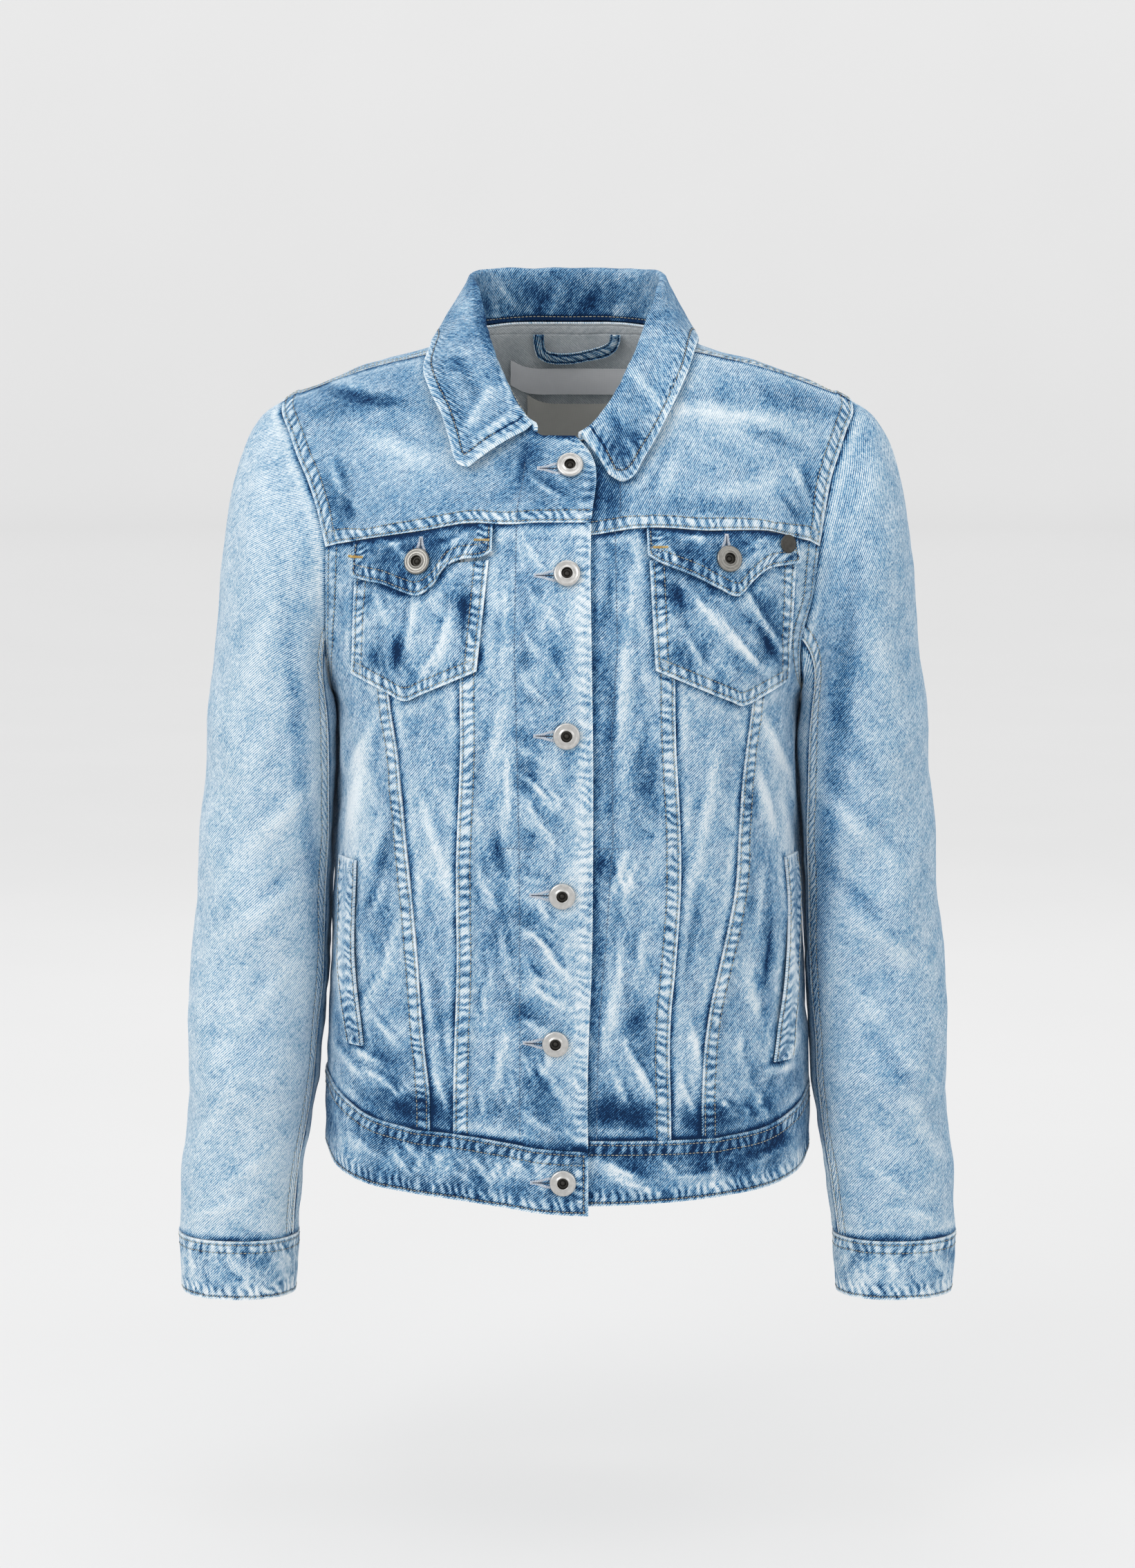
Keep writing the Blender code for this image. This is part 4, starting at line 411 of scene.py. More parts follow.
SHADES: tuple[Shade, ...] = (
    # Yokes; the dark patch at (26, -94), under the collar's left tip, is painted shade.
    *Shade.listed(
        Zone.FRONT, (-105, -72, 40, 26, -15, 0.08), (-28, -66, 14, 20, 0, -0.24),
        (-10, -92, 22, 14, 0, -0.16), (-140, -34, 44, 9, 14, -0.14), (-152, -98, 8, 24, 15, -0.22),
        (-60, -98, 40, 8, 8, -0.06), (26, -94, 12, 26, 0, -0.42), (150, -34, 30, 8, -18, -0.22),
        (105, -48, 44, 14, 8, 0.08), (92, -104, 34, 7, 0, -0.16), (158, -96, 8, 24, -15, -0.2),
        (50, -84, 14, 26, -30, -0.1),
        # Flaps.
        (-110, -130, 34, 12, 8, -0.14), (-70, -126, 14, 8, 20, 0.1),
        (76, -132, 22, 12, -20, -0.16), (118, -126, 24, 6, 0, -0.12), (136, -134, 12, 8, 20, 0.16),
        # Pockets.
        (-122, -162, 21, 10, 0, -0.17), (-112, -204, 8, 15, 20, -0.22),
        (-70, -172, 8, 16, 0, -0.22), (-128, -206, 6, 8, 0, -0.24), (-94, -186, 14, 22, 0, 0.1),
        (74, -160, 16, 14, -30, -0.26), (96, -164, 12, 10, 0, -0.12),
        (136, -192, 10, 28, 25, -0.22), (120, -206, 10, 8, 30, -0.2), (76, -204, 8, 10, 0, -0.14),
        (110, -186, 7, 34, 40, 0.14),
        # Lapped front.
        (8, -190, 7, 60, 0, 0.12), (8, -330, 7, 70, 0, 0.14),
        (6, -430, 8, 60, 0, 0.12), (0, -500, 10, 30, 0, 0.1), (-28, -156, 7, 10, 0, -0.16),
        (-27, -186, 6, 16, 0, -0.16), (-27, -208, 6, 6, 0, -0.22), (-22, -232, 8, 7, 0, -0.2),
        (-27, -257, 12, 6, 0, -0.24), (-30, -284, 8, 12, 0, -0.22), (-24, -330, 9, 9, 0, -0.18),
        (-26, -347, 9, 8, 0, -0.16), (-28, -377, 14, 7, -12, -0.25), (-22, -398, 8, 5, 0, -0.21),
        (-24, -413, 10, 5, 0, -0.17), (-28, -440, 15, 7, -28, -0.25), (-28, -462, 9, 7, 0, -0.17),
        (-24, -488, 16, 9, -20, -0.24), (-14, -508, 21, 10, -20, -0.2),
        (-6, -526, 21, 7, -30, -0.21),
        # Right front beside it.
        (-44, -270, 5, 60, 0, 0.14), (-46, -338, 7, 17, 0, -0.17),
        (-52, -376, 8, 30, 20, -0.12), (-44, -410, 6, 26, 0, -0.12), (-50, -506, 16, 12, 0, -0.19),
        (-52, -150, 8, 30, 0, 0.06),
        # Left front; its dark strips near x 20, beside the lapped edge, are painted shadow of the lapped front.
        (20, -190, 6, 80, 0, -0.21), (22, -330, 7, 69, 0, -0.16),
        (19, -440, 6, 92, 0, -0.19), (28, -250, 5, 60, 0, -0.16), (38, -230, 5, 60, 0, 0.12),
        (52, -292, 9, 24, 0, -0.18), (28, -346, 8, 9, 0, -0.24), (38, -350, 4, 24, 0, 0.18),
        (28, -428, 4, 40, 0, 0.18), (46, -455, 9, 24, 0, -0.22), (30, -508, 18, 13, 0, -0.5),
        (52, -512, 11, 11, 0, -0.34),
        # Wedges.
        (-90, -330, 12, 50, 0, 0.1), (-88, -505, 14, 14, 0, -0.34),
        (-90, -440, 10, 30, 0, -0.1), (92, -290, 12, 60, 0, 0.06), (84, -514, 12, 11, 0, -0.36),
        # Side fronts.
        (-142, -296, 13, 50, 0, 0.22), (-120, -345, 10, 18, 0, -0.12),
        (-128, -374, 8, 22, 0, -0.18), (-146, -455, 8, 22, 0, -0.16),
        (-120, -470, 20, 10, -30, -0.16), (-112, -504, 26, 12, -16, -0.42),
        (140, -286, 12, 42, 0, 0.18), (122, -300, 5, 40, 0, -0.18), (131, -384, 5, 44, 0, -0.22),
        (140, -482, 18, 12, 0, -0.19), (116, -510, 32, 12, 14, -0.31),
        # Waistband.
        (-60, -528, 103, 6, -5, -0.19), (-96, -541, 24, 7, -6, 0.14),
        (-104, -556, 34, 7, -6, -0.22), (-66, -556, 14, 8, 0, -0.14), (-44, -548, 18, 9, 0, 0.12),
        (-14, -560, 18, 7, 0, -0.16), (50, -532, 57, 8, 0, -0.22), (120, -532, 34, 14, 14, -0.28),
        (36, -550, 28, 4, -24, 0.26), (84, -556, 40, 5, 5, 0.18), (56, -562, 46, 5, 0, -0.16),
        (152, -540, 9, 14, 0, 0.26), (-150, -530, 9, 16, 0, 0.16),
    ),
    # Collar.
    *Shade.listed(
        Zone.COLLAR, (0, 30, 52, 20, 0, -0.26), (0, 22, 58, 6, 0, -0.16),
        (-56, 24, 6, 34, 14, -0.24), (-66, 30, 9, 16, 0, 0.1), (-78, -30, 6, 30, 20, -0.1),
        (36, -64, 14, 12, 0, -0.24), (62, -4, 16, 30, 30, 0.06), (-58, -40, 16, 10, 20, 0.06),
    ),
    # Sleeves; the dark strips along their inner sides, next to the body, are painted shade.
    *Shade.listed(
        Zone.SLEEVE_FRONT, (-172, -330, 6, 200, 6, -0.16), (172, -330, 8, 200, -6, -0.2),
        (180, -200, 18, 60, 0, -0.12), (-178, -180, 8, 60, 0, -0.08),
        (-216, -594, 40, 9, 0, -0.14), (216, -596, 40, 9, 0, -0.14),
        (-240, -640, 14, 10, -30, -0.3), (-212, -638, 10, 8, 0, -0.3),
        (236, -640, 16, 8, 30, -0.24), (206, -632, 10, 10, 0, -0.26),
    ),
    # Back.
    *Shade.listed(
        Zone.BACK, (0, -200, 60, 50, 0, 0.1), (0, -400, 60, 60, 0, 0.06),
        (0, -476, 150, 10, 0, -0.3), (-120, -240, 20, 60, 0, 0.1), (120, -240, 20, 60, 0, 0.1),
        (0, -122, 150, 8, 0, -0.16), (0, -20, 100, 14, 0, -0.16), (0, -512, 150, 10, 0, -0.1),
    ),
)
# Where the eye stands that the marks are drawn for, what it looks at, and how it is tilted.
EYE_BACK, EYE_UP, EYE_TARGET = 2779.1, 52.2, -289.0
EYE_FAR, EYE_TILT = 2800, math.radians(7.0)


def seen(points: np.ndarray) -> Faces:
    """Gives where points stand across and up for someone who looks from the front.

    Args:
        points: the points.

    Returns:
        Their places across and up, in the upright plane through the jacket's middle.
    """
    y, z = points[..., 1] + EYE_BACK, points[..., 2] - EYE_UP
    depth = y * math.cos(EYE_TILT) - z * math.sin(EYE_TILT)
    up = y * math.sin(EYE_TILT) + z * math.cos(EYE_TILT)
    return points[..., 0] * EYE_FAR / depth, EYE_TARGET + up * EYE_FAR / depth


def crease_height(points: np.ndarray, normals: np.ndarray, zones: tuple[Zone, ...]) -> Faces:
    """Adds up the creases and the shades of some zones.

    Args:
        points: places on a piece's outer face.
        normals: its outward directions there.
        zones: the zones that the piece lies in.

    Returns:
        The height and the tone at each place.
    """
    front = np.clip(-normals[..., 1] * 2.5 + 0.15, 0, 1)
    behind = np.clip(normals[..., 1] * 2.5 + 0.15, 0, 1)
    height, tone = np.zeros(points.shape[:-1]), np.zeros(points.shape[:-1])
    drawn = seen(points)
    for mark in (*CREASES, *SHADES):
        if mark.zone not in zones:
            continue
        back = mark.zone in (Zone.BACK, Zone.SLEEVE_BACK)
        weight = 1.0 if mark.zone is Zone.COLLAR else behind if back else front
        place = (points[..., 0], points[..., 2]) if back else drawn
        total = height if isinstance(mark, Crease) else tone
        total += mark.at(*place) * weight
    return height, tone


# --- Finding a piece's rows and columns ---

WAVE_STEPS = 900
# The sharpest turns at which a wall's faces are tried, and how many corners are tried.
TRIED_TURNS, TRIED_CORNERS = (60, 54, 48, 42, 36, 30, 66, 72, 25), 12
# The share of a cell's misfit that one round takes away when a face is laid flat.
EVENING = 0.12


def wave(along: np.ndarray, pitch: float, seed: int) -> np.ndarray:
    """Gives a smooth uneven wave, -1 to 1, along a line.

    Args:
        along: distances along the line.
        pitch: the usual distance from one crest to the next.
        seed: which wave.

    Returns:
        The wave's height at each distance.
    """
    chance = np.random.default_rng(seed)
    steps = chance.uniform(0.6, 1.4, WAVE_STEPS) * pitch / 2
    places = np.cumsum(steps) - 2 * pitch
    signs = np.where(np.arange(WAVE_STEPS) % 2 == 0, 1.0, -1.0)
    values = signs * chance.uniform(0.35, 1.0, WAVE_STEPS)
    k = np.clip(np.searchsorted(places, along) - 1, 0, WAVE_STEPS - 2)
    share = np.clip((along - places[k]) / (places[k + 1] - places[k]), 0, 1)
    share = share * share * (3 - 2 * share)
    return values[k] + share * (values[k + 1] - values[k])


def spread(values: np.ndarray, knots: np.ndarray, at: np.ndarray) -> np.ndarray:
    """Reads rows of points at new places, on smooth curves through them.

    Args:
        values: points, one row to a knot.
        knots: the rows' places.
        at: the places to read.

    Returns:
        The points at the new places.
    """
    step = np.diff(knots)
    shape = (-1,) + (1,) * (values.ndim - 1)
    rise = np.diff(values, axis=0) / step.reshape(shape)
    width = step.reshape(shape)
    inner = (rise[:-1] * width[:-1] + rise[1:] * width[1:]) / (width[:-1] + width[1:])
    slope = np.concatenate((rise[:1], inner, rise[-1:]))
    k = np.clip(np.searchsorted(knots, at, side="right") - 1, 0, len(step) - 1)
    h = step[k].reshape(shape)
    t = ((at - knots[k]) / step[k]).reshape(shape)
    start = (1 + 2 * t) * (1 - t) ** 2 * values[k] + t * (1 - t) ** 2 * h * slope[k]
    end = t * t * (3 - 2 * t) * values[k + 1] + t * t * (t - 1) * h * slope[k + 1]
    return start + end


class Rows:
    """The two faces of a cloth wall as rows of points, found in its loose triangles."""

    def __init__(self, mesh: bpy.types.Mesh) -> None:
        """Reads a mesh.

        Args:
            mesh: the closed wall of a cloth piece.
        """
        shape = bmesh.new()
        shape.from_mesh(mesh)
        bmesh.ops.remove_doubles(shape, verts=shape.verts[:], dist=1e-6)
        bmesh.ops.triangulate(shape, faces=shape.faces[:])
        shape.verts.ensure_lookup_table()
        self.points = np.array([vertex.co for vertex in shape.verts]) / MM
        self.faces = [tuple(vertex.index for vertex in face.verts) for face in shape.faces]
        shape.free()
        corner = self.points[np.array(self.faces)]
        normal = np.cross(corner[:, 1] - corner[:, 0], corner[:, 2] - corner[:, 0])
        self.normals = normal / np.maximum(np.linalg.norm(normal, axis=1, keepdims=True), 1e-12)
        self.edges: dict[tuple[int, int], list[int]] = {}
        for k, face in enumerate(self.faces):
            for a, b in zip(face, face[1:] + face[:1]):
                self.edges.setdefault(self.key(a, b), []).append(k)

    @staticmethod
    def key(a: int, b: int) -> tuple[int, int]:
        """Names an edge by its two points, the lower first."""
        return (a, b) if a < b else (b, a)

    def faces_within(self, degrees: float) -> list[list[int]]:
        """Splits the wall where it turns sharply.

        Args:
            degrees: the sharpest turn inside a part.

        Returns:
            The parts, each a list of faces, the largest first.
        """
        limit = math.cos(math.radians(degrees))
        near: list[list[int]] = [[] for _ in self.faces]
        for pair in self.edges.values():
            if len(pair) == 2 and self.normals[pair[0]] @ self.normals[pair[1]] > limit:
                near[pair[0]].append(pair[1])
                near[pair[1]].append(pair[0])
        done, parts = set(), []
        for first in range(len(self.faces)):
            if first in done:
                continue
            done.add(first)
            part, waiting = [], [first]
            while waiting:
                face = waiting.pop()
                part.append(face)
                for other in near[face]:
                    if other not in done:
                        done.add(other)
                        waiting.append(other)
            parts.append(part)
        return sorted(parts, key=len, reverse=True)

    def outline(self, part: list[int]) -> tuple[list[int], int, int] | None:
        """Walks a part's outline and counts its rows and columns.

        Args:
            part: faces.

        Returns:
            The outline's points in order and the two counts, or None if it isn't a grid.
        """
        inside, beside = set(part), {}
        for (a, b), pair in self.edges.items():
            if sum(face in inside for face in pair) == 1:
                beside.setdefault(a, []).append(b)
                beside.setdefault(b, []).append(a)
        if not beside or any(len(pair) != 2 for pair in beside.values()):
            return None
        start = min(beside)
        loop = [start, beside[start][0]]
        while True:
            first, second = beside[loop[-1]]
            following = second if first == loop[-2] else first
            if following == start:
                break
            loop.append(following)
        points = len({v for face in part for v in self.faces[face]})
        half = len(loop) / 2
        root = half * half - 4 * (points - half - 1)
        if len(loop) != len(beside) or root < 0:
            return None
        high = (half + math.sqrt(root)) / 2
        low = half - high
        if abs(high - round(high)) > 1e-6 or len(part) != 2 * round(high) * round(low):
            return None
        return loop, round(high), round(low)

    def starts(self, loop: list[int], high: int, low: int) -> list[tuple[list[int], int, int]]:
        """Turns an outline so that it starts at a corner.

        Args:
            loop: the outline's points in order.
            high: one count of cells.
            low: the other.

        Returns:
            The outline from a corner on, and the cells along its first and second side, the
            likeliest corners first.
        """
        places = self.points[loop]
        before = places - np.roll(places, 1, axis=0)
        after = np.roll(places, -1, axis=0) - places
        before /= np.linalg.norm(before, axis=1, keepdims=True)
        after /= np.linalg.norm(after, axis=1, keepdims=True)
        turn = np.arccos(np.clip(np.sum(before * after, axis=1), -1, 1))
        found = []
        for first, second in ((high, low), (low, high)):
            for k in range(first + second):
                corners = [k, k + first, k + first + second, k + 2 * first + second]
                total = float(sum(turn[c % len(loop)] for c in corners))
                found.append((total, k, first, second))
        found.sort(reverse=True)
        likely = found[:TRIED_CORNERS]
        return [(loop[k:] + loop[:k], first, second) for _, k, first, second in likely]

    def beside(self, a: int, b: int, used: set[int]) -> list[tuple[int, int]]:
        """Lists the unused faces at an edge, each with its third point."""
        faces = [face for face in self.edges[self.key(a, b)] if face not in used]
        return [(face, sum(self.faces[face]) - a - b) for face in faces]

    def cross_cell(self, left: int, right: int, start: int, used: set[int]) -> int | None:
        """Steps over one cell, from the known corners to the last one.

        Args:
            left: the first known corner.
            right: the second known corner.
            start: the corner beyond the first one.
            used: the faces already taken, to which the cell's are added.

        Returns:
            The corner beyond the second one, or None if there is no such cell.
        """
        for face, point in self.beside(left, right, used):
            if point == start:
                for other, corner in self.beside(start, right, used | {face}):
                    used.update((face, other))
                    return corner
            elif self.key(left, point) in self.edges:
                for other, corner in self.beside(left, point, used | {face}):
                    if corner == start:
                        used.update((face, other))
                        return point
        return None

    def cross_strip(self, row: list[int], start: int, used: set[int]) -> list[int] | None:
        """Follows a strip of cells from one of its sides to the other.

        Args:
            row: the points of the known side.
            start: the first point of the other side.
            used: faces already taken, to which the strip's are added.

        Returns:
            The points of the other side, or None if the strip breaks off.
        """
        other = [start]
        for left, right in zip(row, row[1:]):
            corner = self.cross_cell(left, right, other[-1], used)
            if corner is None:
                return None
            other.append(corner)
        return other

    def lay(self, loop: list[int], first: int, second: int, used: set[int]) -> np.ndarray | None:
        """Lays a face's points in rows and columns.

        Args:
            loop: its outline from a corner on.
            first: the cells along the first side.
            second: the cells along the second side.
            used: faces that aren't its own.

        Returns:
            The indices of the points by row and column, or None.
        """
        rows, used = [loop[: first + 1]], set(used)
        left = [loop[0]] + loop[: -second - 1 : -1]
        for k in range(second):
            row = self.cross_strip(rows[-1], left[k + 1], used)
            if row is None:
                return None
            rows.append(row)
        return np.array(rows)

    def across(self, row: list[int], used: set[int]) -> list[tuple[list[int], set[int]]]:
        """Follows the strips of cells beside a row of points to their other sides.

        Args:
            row: the points, with the first one again at the end if the row is closed.
            used: the faces already taken.

        Returns:
            Each other side with the faces taken by then, the narrowest strip first.
        """
        found = []
        for start in self.around(row[0]) - set(row):
            taken = set(used)
            other = self.cross_strip(row, start, taken)
            if other is None or len(set(other)) != len(set(row)):
                continue
            if (other[0] == other[-1]) == (row[0] == row[-1]):
                gap = np.linalg.norm(self.points[other] - self.points[row], axis=1).mean()
                found.append((float(gap), other, taken))
        return [(other, taken) for _, other, taken in sorted(found, key=lambda item: item[0])]

    def around(self, point: int) -> set[int]:
        """Lists the points that share an edge with one."""
        return {v for pair in self.edges for v in pair if point in pair}

    def from_edge(self, line: np.ndarray, rows: int) -> Faces:
        """Lays both faces of a folded wall, starting at one long edge.

        Args:
            line: the points of the outer face's edge, in order.
            rows: the cells from that edge to the opposite one.

        Returns:
            Both faces' points by row and column.
        """
        edge = [int(np.argmin(np.linalg.norm(self.points - point, axis=1))) for point in line]
        beyond, rim = self.across(edge, set())[0]
        faces = []
        for start in (edge, beyond):
            found, used = [start], set(rim)
            for _ in range(rows):
                row, used = self.across(found[-1], used)[0]
                found.append(row)
            faces.append(self.points[np.array(found)])
        return faces[0], faces[1]

    def grids(self) -> Faces:
        """Finds both faces of the wall.

        Returns:
            Their points by row and column, each point opposite its partner.
        """
        for degrees in TRIED_TURNS:
            pairs = []
            for part in self.faces_within(degrees)[:4]:
                found = self.outline(part)
                if found is not None and len(part) > 0.2 * len(self.faces):
                    fits = (self.both(part, *start) for start in self.starts(*found))
                    pairs += [pair for pair in fits if pair is not None][:1]
            if pairs:
                return min(pairs, key=lambda pair: float(np.abs(pair[0] - pair[1]).sum()))
        return self.from_rim()

    def from_rim(self) -> Faces:
        """Lays both faces of the wall from a strip of its rim, where its faces bend too sharply.

        Returns:
            Both faces' points by row and column.
        """
        pairs = []
        for part in self.faces_within(25) + self.faces_within(42):
            found = self.outline(part)
            if found is None or found[2] != 1 or found[1] < 3:
                continue
            rows = (len(self.faces) / 4 - found[1]) / (found[1] + 1)
            for loop, first, _ in self.starts(*found):
                if first == found[1] and rows == round(rows) and rows > 2:
                    for side in (loop[: first + 1], loop[first::-1]):
                        try:
                            pairs.append(self.from_edge(self.points[side], round(rows)))
                        except IndexError:
                            continue
        return min(pairs, key=lambda pair: float(np.linalg.norm(pair[0] - pair[1], axis=-1).max()))

    def both(self, part: list[int], loop: list[int], first: int, second: int) -> Faces | None:
        """Lays both faces of the wall, if the outline starts at a corner.

        Args:
            part: the faces of one side.
            loop: its outline.
            first: the cells along the first side.
            second: the cells along the second side.

        Returns:
            Both faces' points by row and column, or None.
        """
        own = set(part)
        one = self.lay(loop, first, second, set(range(len(self.faces))) - own)
        for other, taken in self.across(loop + loop[:1], own) if one is not None else ():
            two = self.lay(other[:-1], first, second, taken)
            if two is not None:
                return self.points[one], self.points[two]
        return None


# --- Cloth shells ---

def lengths(points: np.ndarray, axis: int) -> np.ndarray:
    """Gives each point's distance along its row or column.

    Args:
        points: points by row and column.
        axis: 0 for down the columns, 1 for along the rows.

    Returns:
        The distances.
    """
    step = np.linalg.norm(np.diff(points, axis=axis), axis=-1)
    start = np.zeros_like(np.take(step, [0], axis=axis))
    return np.concatenate((start, np.cumsum(step, axis=axis)), axis=axis)


def read_at(at: np.ndarray, far: np.ndarray, values: np.ndarray) -> np.ndarray:
    """Reads points of a line at new distances along it."""
    return np.stack([np.interp(at, far, values[:, k]) for k in range(3)], axis=1)


def quads_of(at: np.ndarray) -> np.ndarray:
    """Gives the four corners of each cell of a grid of point numbers."""
    corners = np.stack((at[:-1, :-1], at[1:, :-1], at[1:, 1:], at[:-1, 1:]), axis=-1)
    return corners.reshape(-1, 4)


def placed(name: str, data: bpy.types.ID) -> Thing:
    """Adds an object to the scene."""
    thing = bpy.data.objects.new(name, data)
    bpy.context.scene.collection.objects.link(thing)
    return thing


def riding(name: str, mesh: bpy.types.Mesh, slot: str, *nodes: str) -> Thing:
    """Adds a piece that rides on the jacket's body and takes the place of its solids.

    Args:
        name: its name.
        mesh: its finished mesh.
        slot: the record's material slot.
        nodes: the solids that it stands for, if any.

    Returns:
        The piece.
    """
    thing = placed(name, mesh)
    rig.ride(thing, "root")
    if nodes:
        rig.replaces(thing, *nodes)
    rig.slot(thing, slot)
    return thing


def finer(faces: list[np.ndarray], cell: float) -> list[np.ndarray]:
    """Refines matching faces along both directions.

    Args:
        faces: the faces, of which the first sets the cells' size.
        cell: the new cells' size.

    Returns:
        The faces with more rows and columns.
    """
    for axis in (0, 1):
        knots = lengths(faces[0], axis).mean(axis=1 - axis)
        parts = [
            np.linspace(a, b, max(1, round((b - a) / cell)), endpoint=False)
            for a, b in zip(knots, knots[1:])
        ]
        at = np.concatenate(parts + [knots[-1:]])
        turned = [spread(np.moveaxis(face, axis, 0), knots, at) for face in faces]
        faces = [np.moveaxis(face, 0, axis) for face in turned]
    return faces


def flattened(grid: np.ndarray, rounds: int = 260) -> np.ndarray:
    """Lays a face flat like its paper pattern, so that its cells keep their sizes.

    Args:
        grid: the face.
        rounds: how often its cells are evened out.

    Returns:
        Places across and up for each point, in millimetres.
    """
    rows, columns = grid.shape[:2]
    across, down = lengths(grid, 1), lengths(grid, 0)
    across = across - across[:, [columns // 2]]
    down = down - down[[rows // 2], :]
    flat = np.stack((across, -down), axis=-1)
    every, front, back = slice(None), slice(None, -1), slice(1, None)
    pairs = (
        ((every, front), (every, back)),
        ((front, every), (back, every)),
        ((front, front), (back, back)),
        ((front, back), (back, front)),
    )
    rest = [np.linalg.norm(grid[b] - grid[a], axis=-1) for a, b in pairs]
    for _ in range(rounds):
        push = np.zeros_like(flat)
        for (a, b), length in zip(pairs, rest):
            run = flat[b] - flat[a]
            far = np.maximum(np.linalg.norm(run, axis=-1), 1e-6)
            fix = EVENING * (1 - length / far)[..., None] * run
            push[a] += fix
            push[b] -= fix
        flat = flat + push
    return flat


@dataclass
class Shell:
    """A cloth piece's fine faces, its outward directions and what its wash and painted shade follow.

    The flat places are its pattern's. The seam holds the distance from the nearest sewn edge, the
    place along it and the distance from the nearest edge that goes under or lies under another
    piece, where shade is painted; the rows hold the distances from two rows of stitches, where shade
    is painted too, and the strength of the marbling.
    """

    name: str
    outer: np.ndarray
    inner: np.ndarray
    normal: np.ndarray
    tone: np.ndarray
    flat: np.ndarray
    seam: np.ndarray
    rows: np.ndarray

    @property
    def cut(self) -> "Cut":
        """Gives the piece's cut: its pattern's width and length and its area."""
        down, across = np.diff(self.outer, axis=0)[:, :-1], np.diff(self.outer, axis=1)[:-1]
        area = float(np.linalg.norm(np.cross(down, across), axis=-1).sum() * MM * MM)
        size = np.ptp(self.flat.reshape(-1, 2), axis=0) * MM
        return Cut(max(float(size[0]), 0.0101), max(float(size[1]), 0.0101), area)

    def line(self, border: Border, distance: float, start: float = 2.0, end: float = 2.0) -> "Line":
        """Gives the line that runs beside a border.

        Args:
            border: which border.
            distance: how far inside it.
            start: how much is left off at the line's start.
            end: how much is left off at its end.

        Returns:
            The line on the outer face.
        """
        points, normals = self.outer, self.normal
        if border in (Border.TOP, Border.BOTTOM):
            points, normals = np.swapaxes(points, 0, 1), np.swapaxes(normals, 0, 1)
        if border in (Border.RIGHT, Border.BOTTOM):
            points, normals = points[:, ::-1], normals[:, ::-1]
        reach = lengths(points, 1)
        places, ups = [], []
        for row, up, far in zip(points, normals, reach):
            k = int(np.clip(np.searchsorted(far, distance) - 1, 0, len(far) - 2))
            share = min(1.0, (distance - far[k]) / max(far[k + 1] - far[k], 1e-6))
            places.append(row[k] + share * (row[k + 1] - row[k]))
            ups.append(up[k])
        return Line(np.array(places), np.array(ups)).trimmed(start, end)


@dataclass
class Line:
    """A line on the cloth, with the outward direction at each of its points."""

    points: np.ndarray
    ups: np.ndarray

    def trimmed(self, start: float, end: float) -> "Line":
        """Shortens the line at its ends.

        Args:
            start: how much comes off at the start.
            end: how much comes off at the end.

        Returns:
            The shorter line.
        """
        far = lengths(self.points, 0)
        keep = (far > start) & (far < far[-1] - end)
        at = np.concatenate(([start], far[keep], [far[-1] - end]))
        return Line(read_at(at, far, self.points), read_at(at, far, self.ups))


@dataclass(frozen=True)
class Row:
    """A row of stitches beside a border, in millimetres from the border and from its ends."""

    border: Border
    distance: float
    start: float = 1.5
    end: float = 1.5


@dataclass(frozen=True)
class Cut:
    """The flat size that a cloth piece is cut to, in metres, and its area in square metres."""

    width: float
    length: float
    area: float


@dataclass(frozen=True)
class Wash:
    """How strongly a piece shows its seams, creases and wear, and the shade painted in its creases."""

    base: float = 0.0
    marble: float = 1.0
    rope_lift: float = 0.35
    # The crease tone: paler on ridges, as wear, and darker in troughs, as painted shade.
    crease_wear_and_shade: float = 0.34
    crumple: float = 0.16


# Seams: the roping of a fell, the swell of the cloth that goes under, and the flat of an edge.
ROPE_MIDDLE, ROPE_PITCH, ROPE_SLANT = 5.0, 7.5, 0.35
SWELL, SWELL_PITCH, SWELL_MIDDLE = 0.25, 9.0, 7
EDGE_CALM = 3.0
# The waves of the cloth's small unevenness.
CRUMPLE_PITCHES, CRUMPLE_WAVES, CRUMPLE_TURN = (34.0, 21.0, 13.0), 4, 6.28
# The middles of the body and of the sleeves, which hang outward and forward from their tops.
BODY_HUB: Triple = (0.0, 0.0, -250.0)
ARM_TOP, ARM_DROP, ARM_OUT, ARM_SPLAY, ARM_SWING = -130, 460, 174, 46, -14


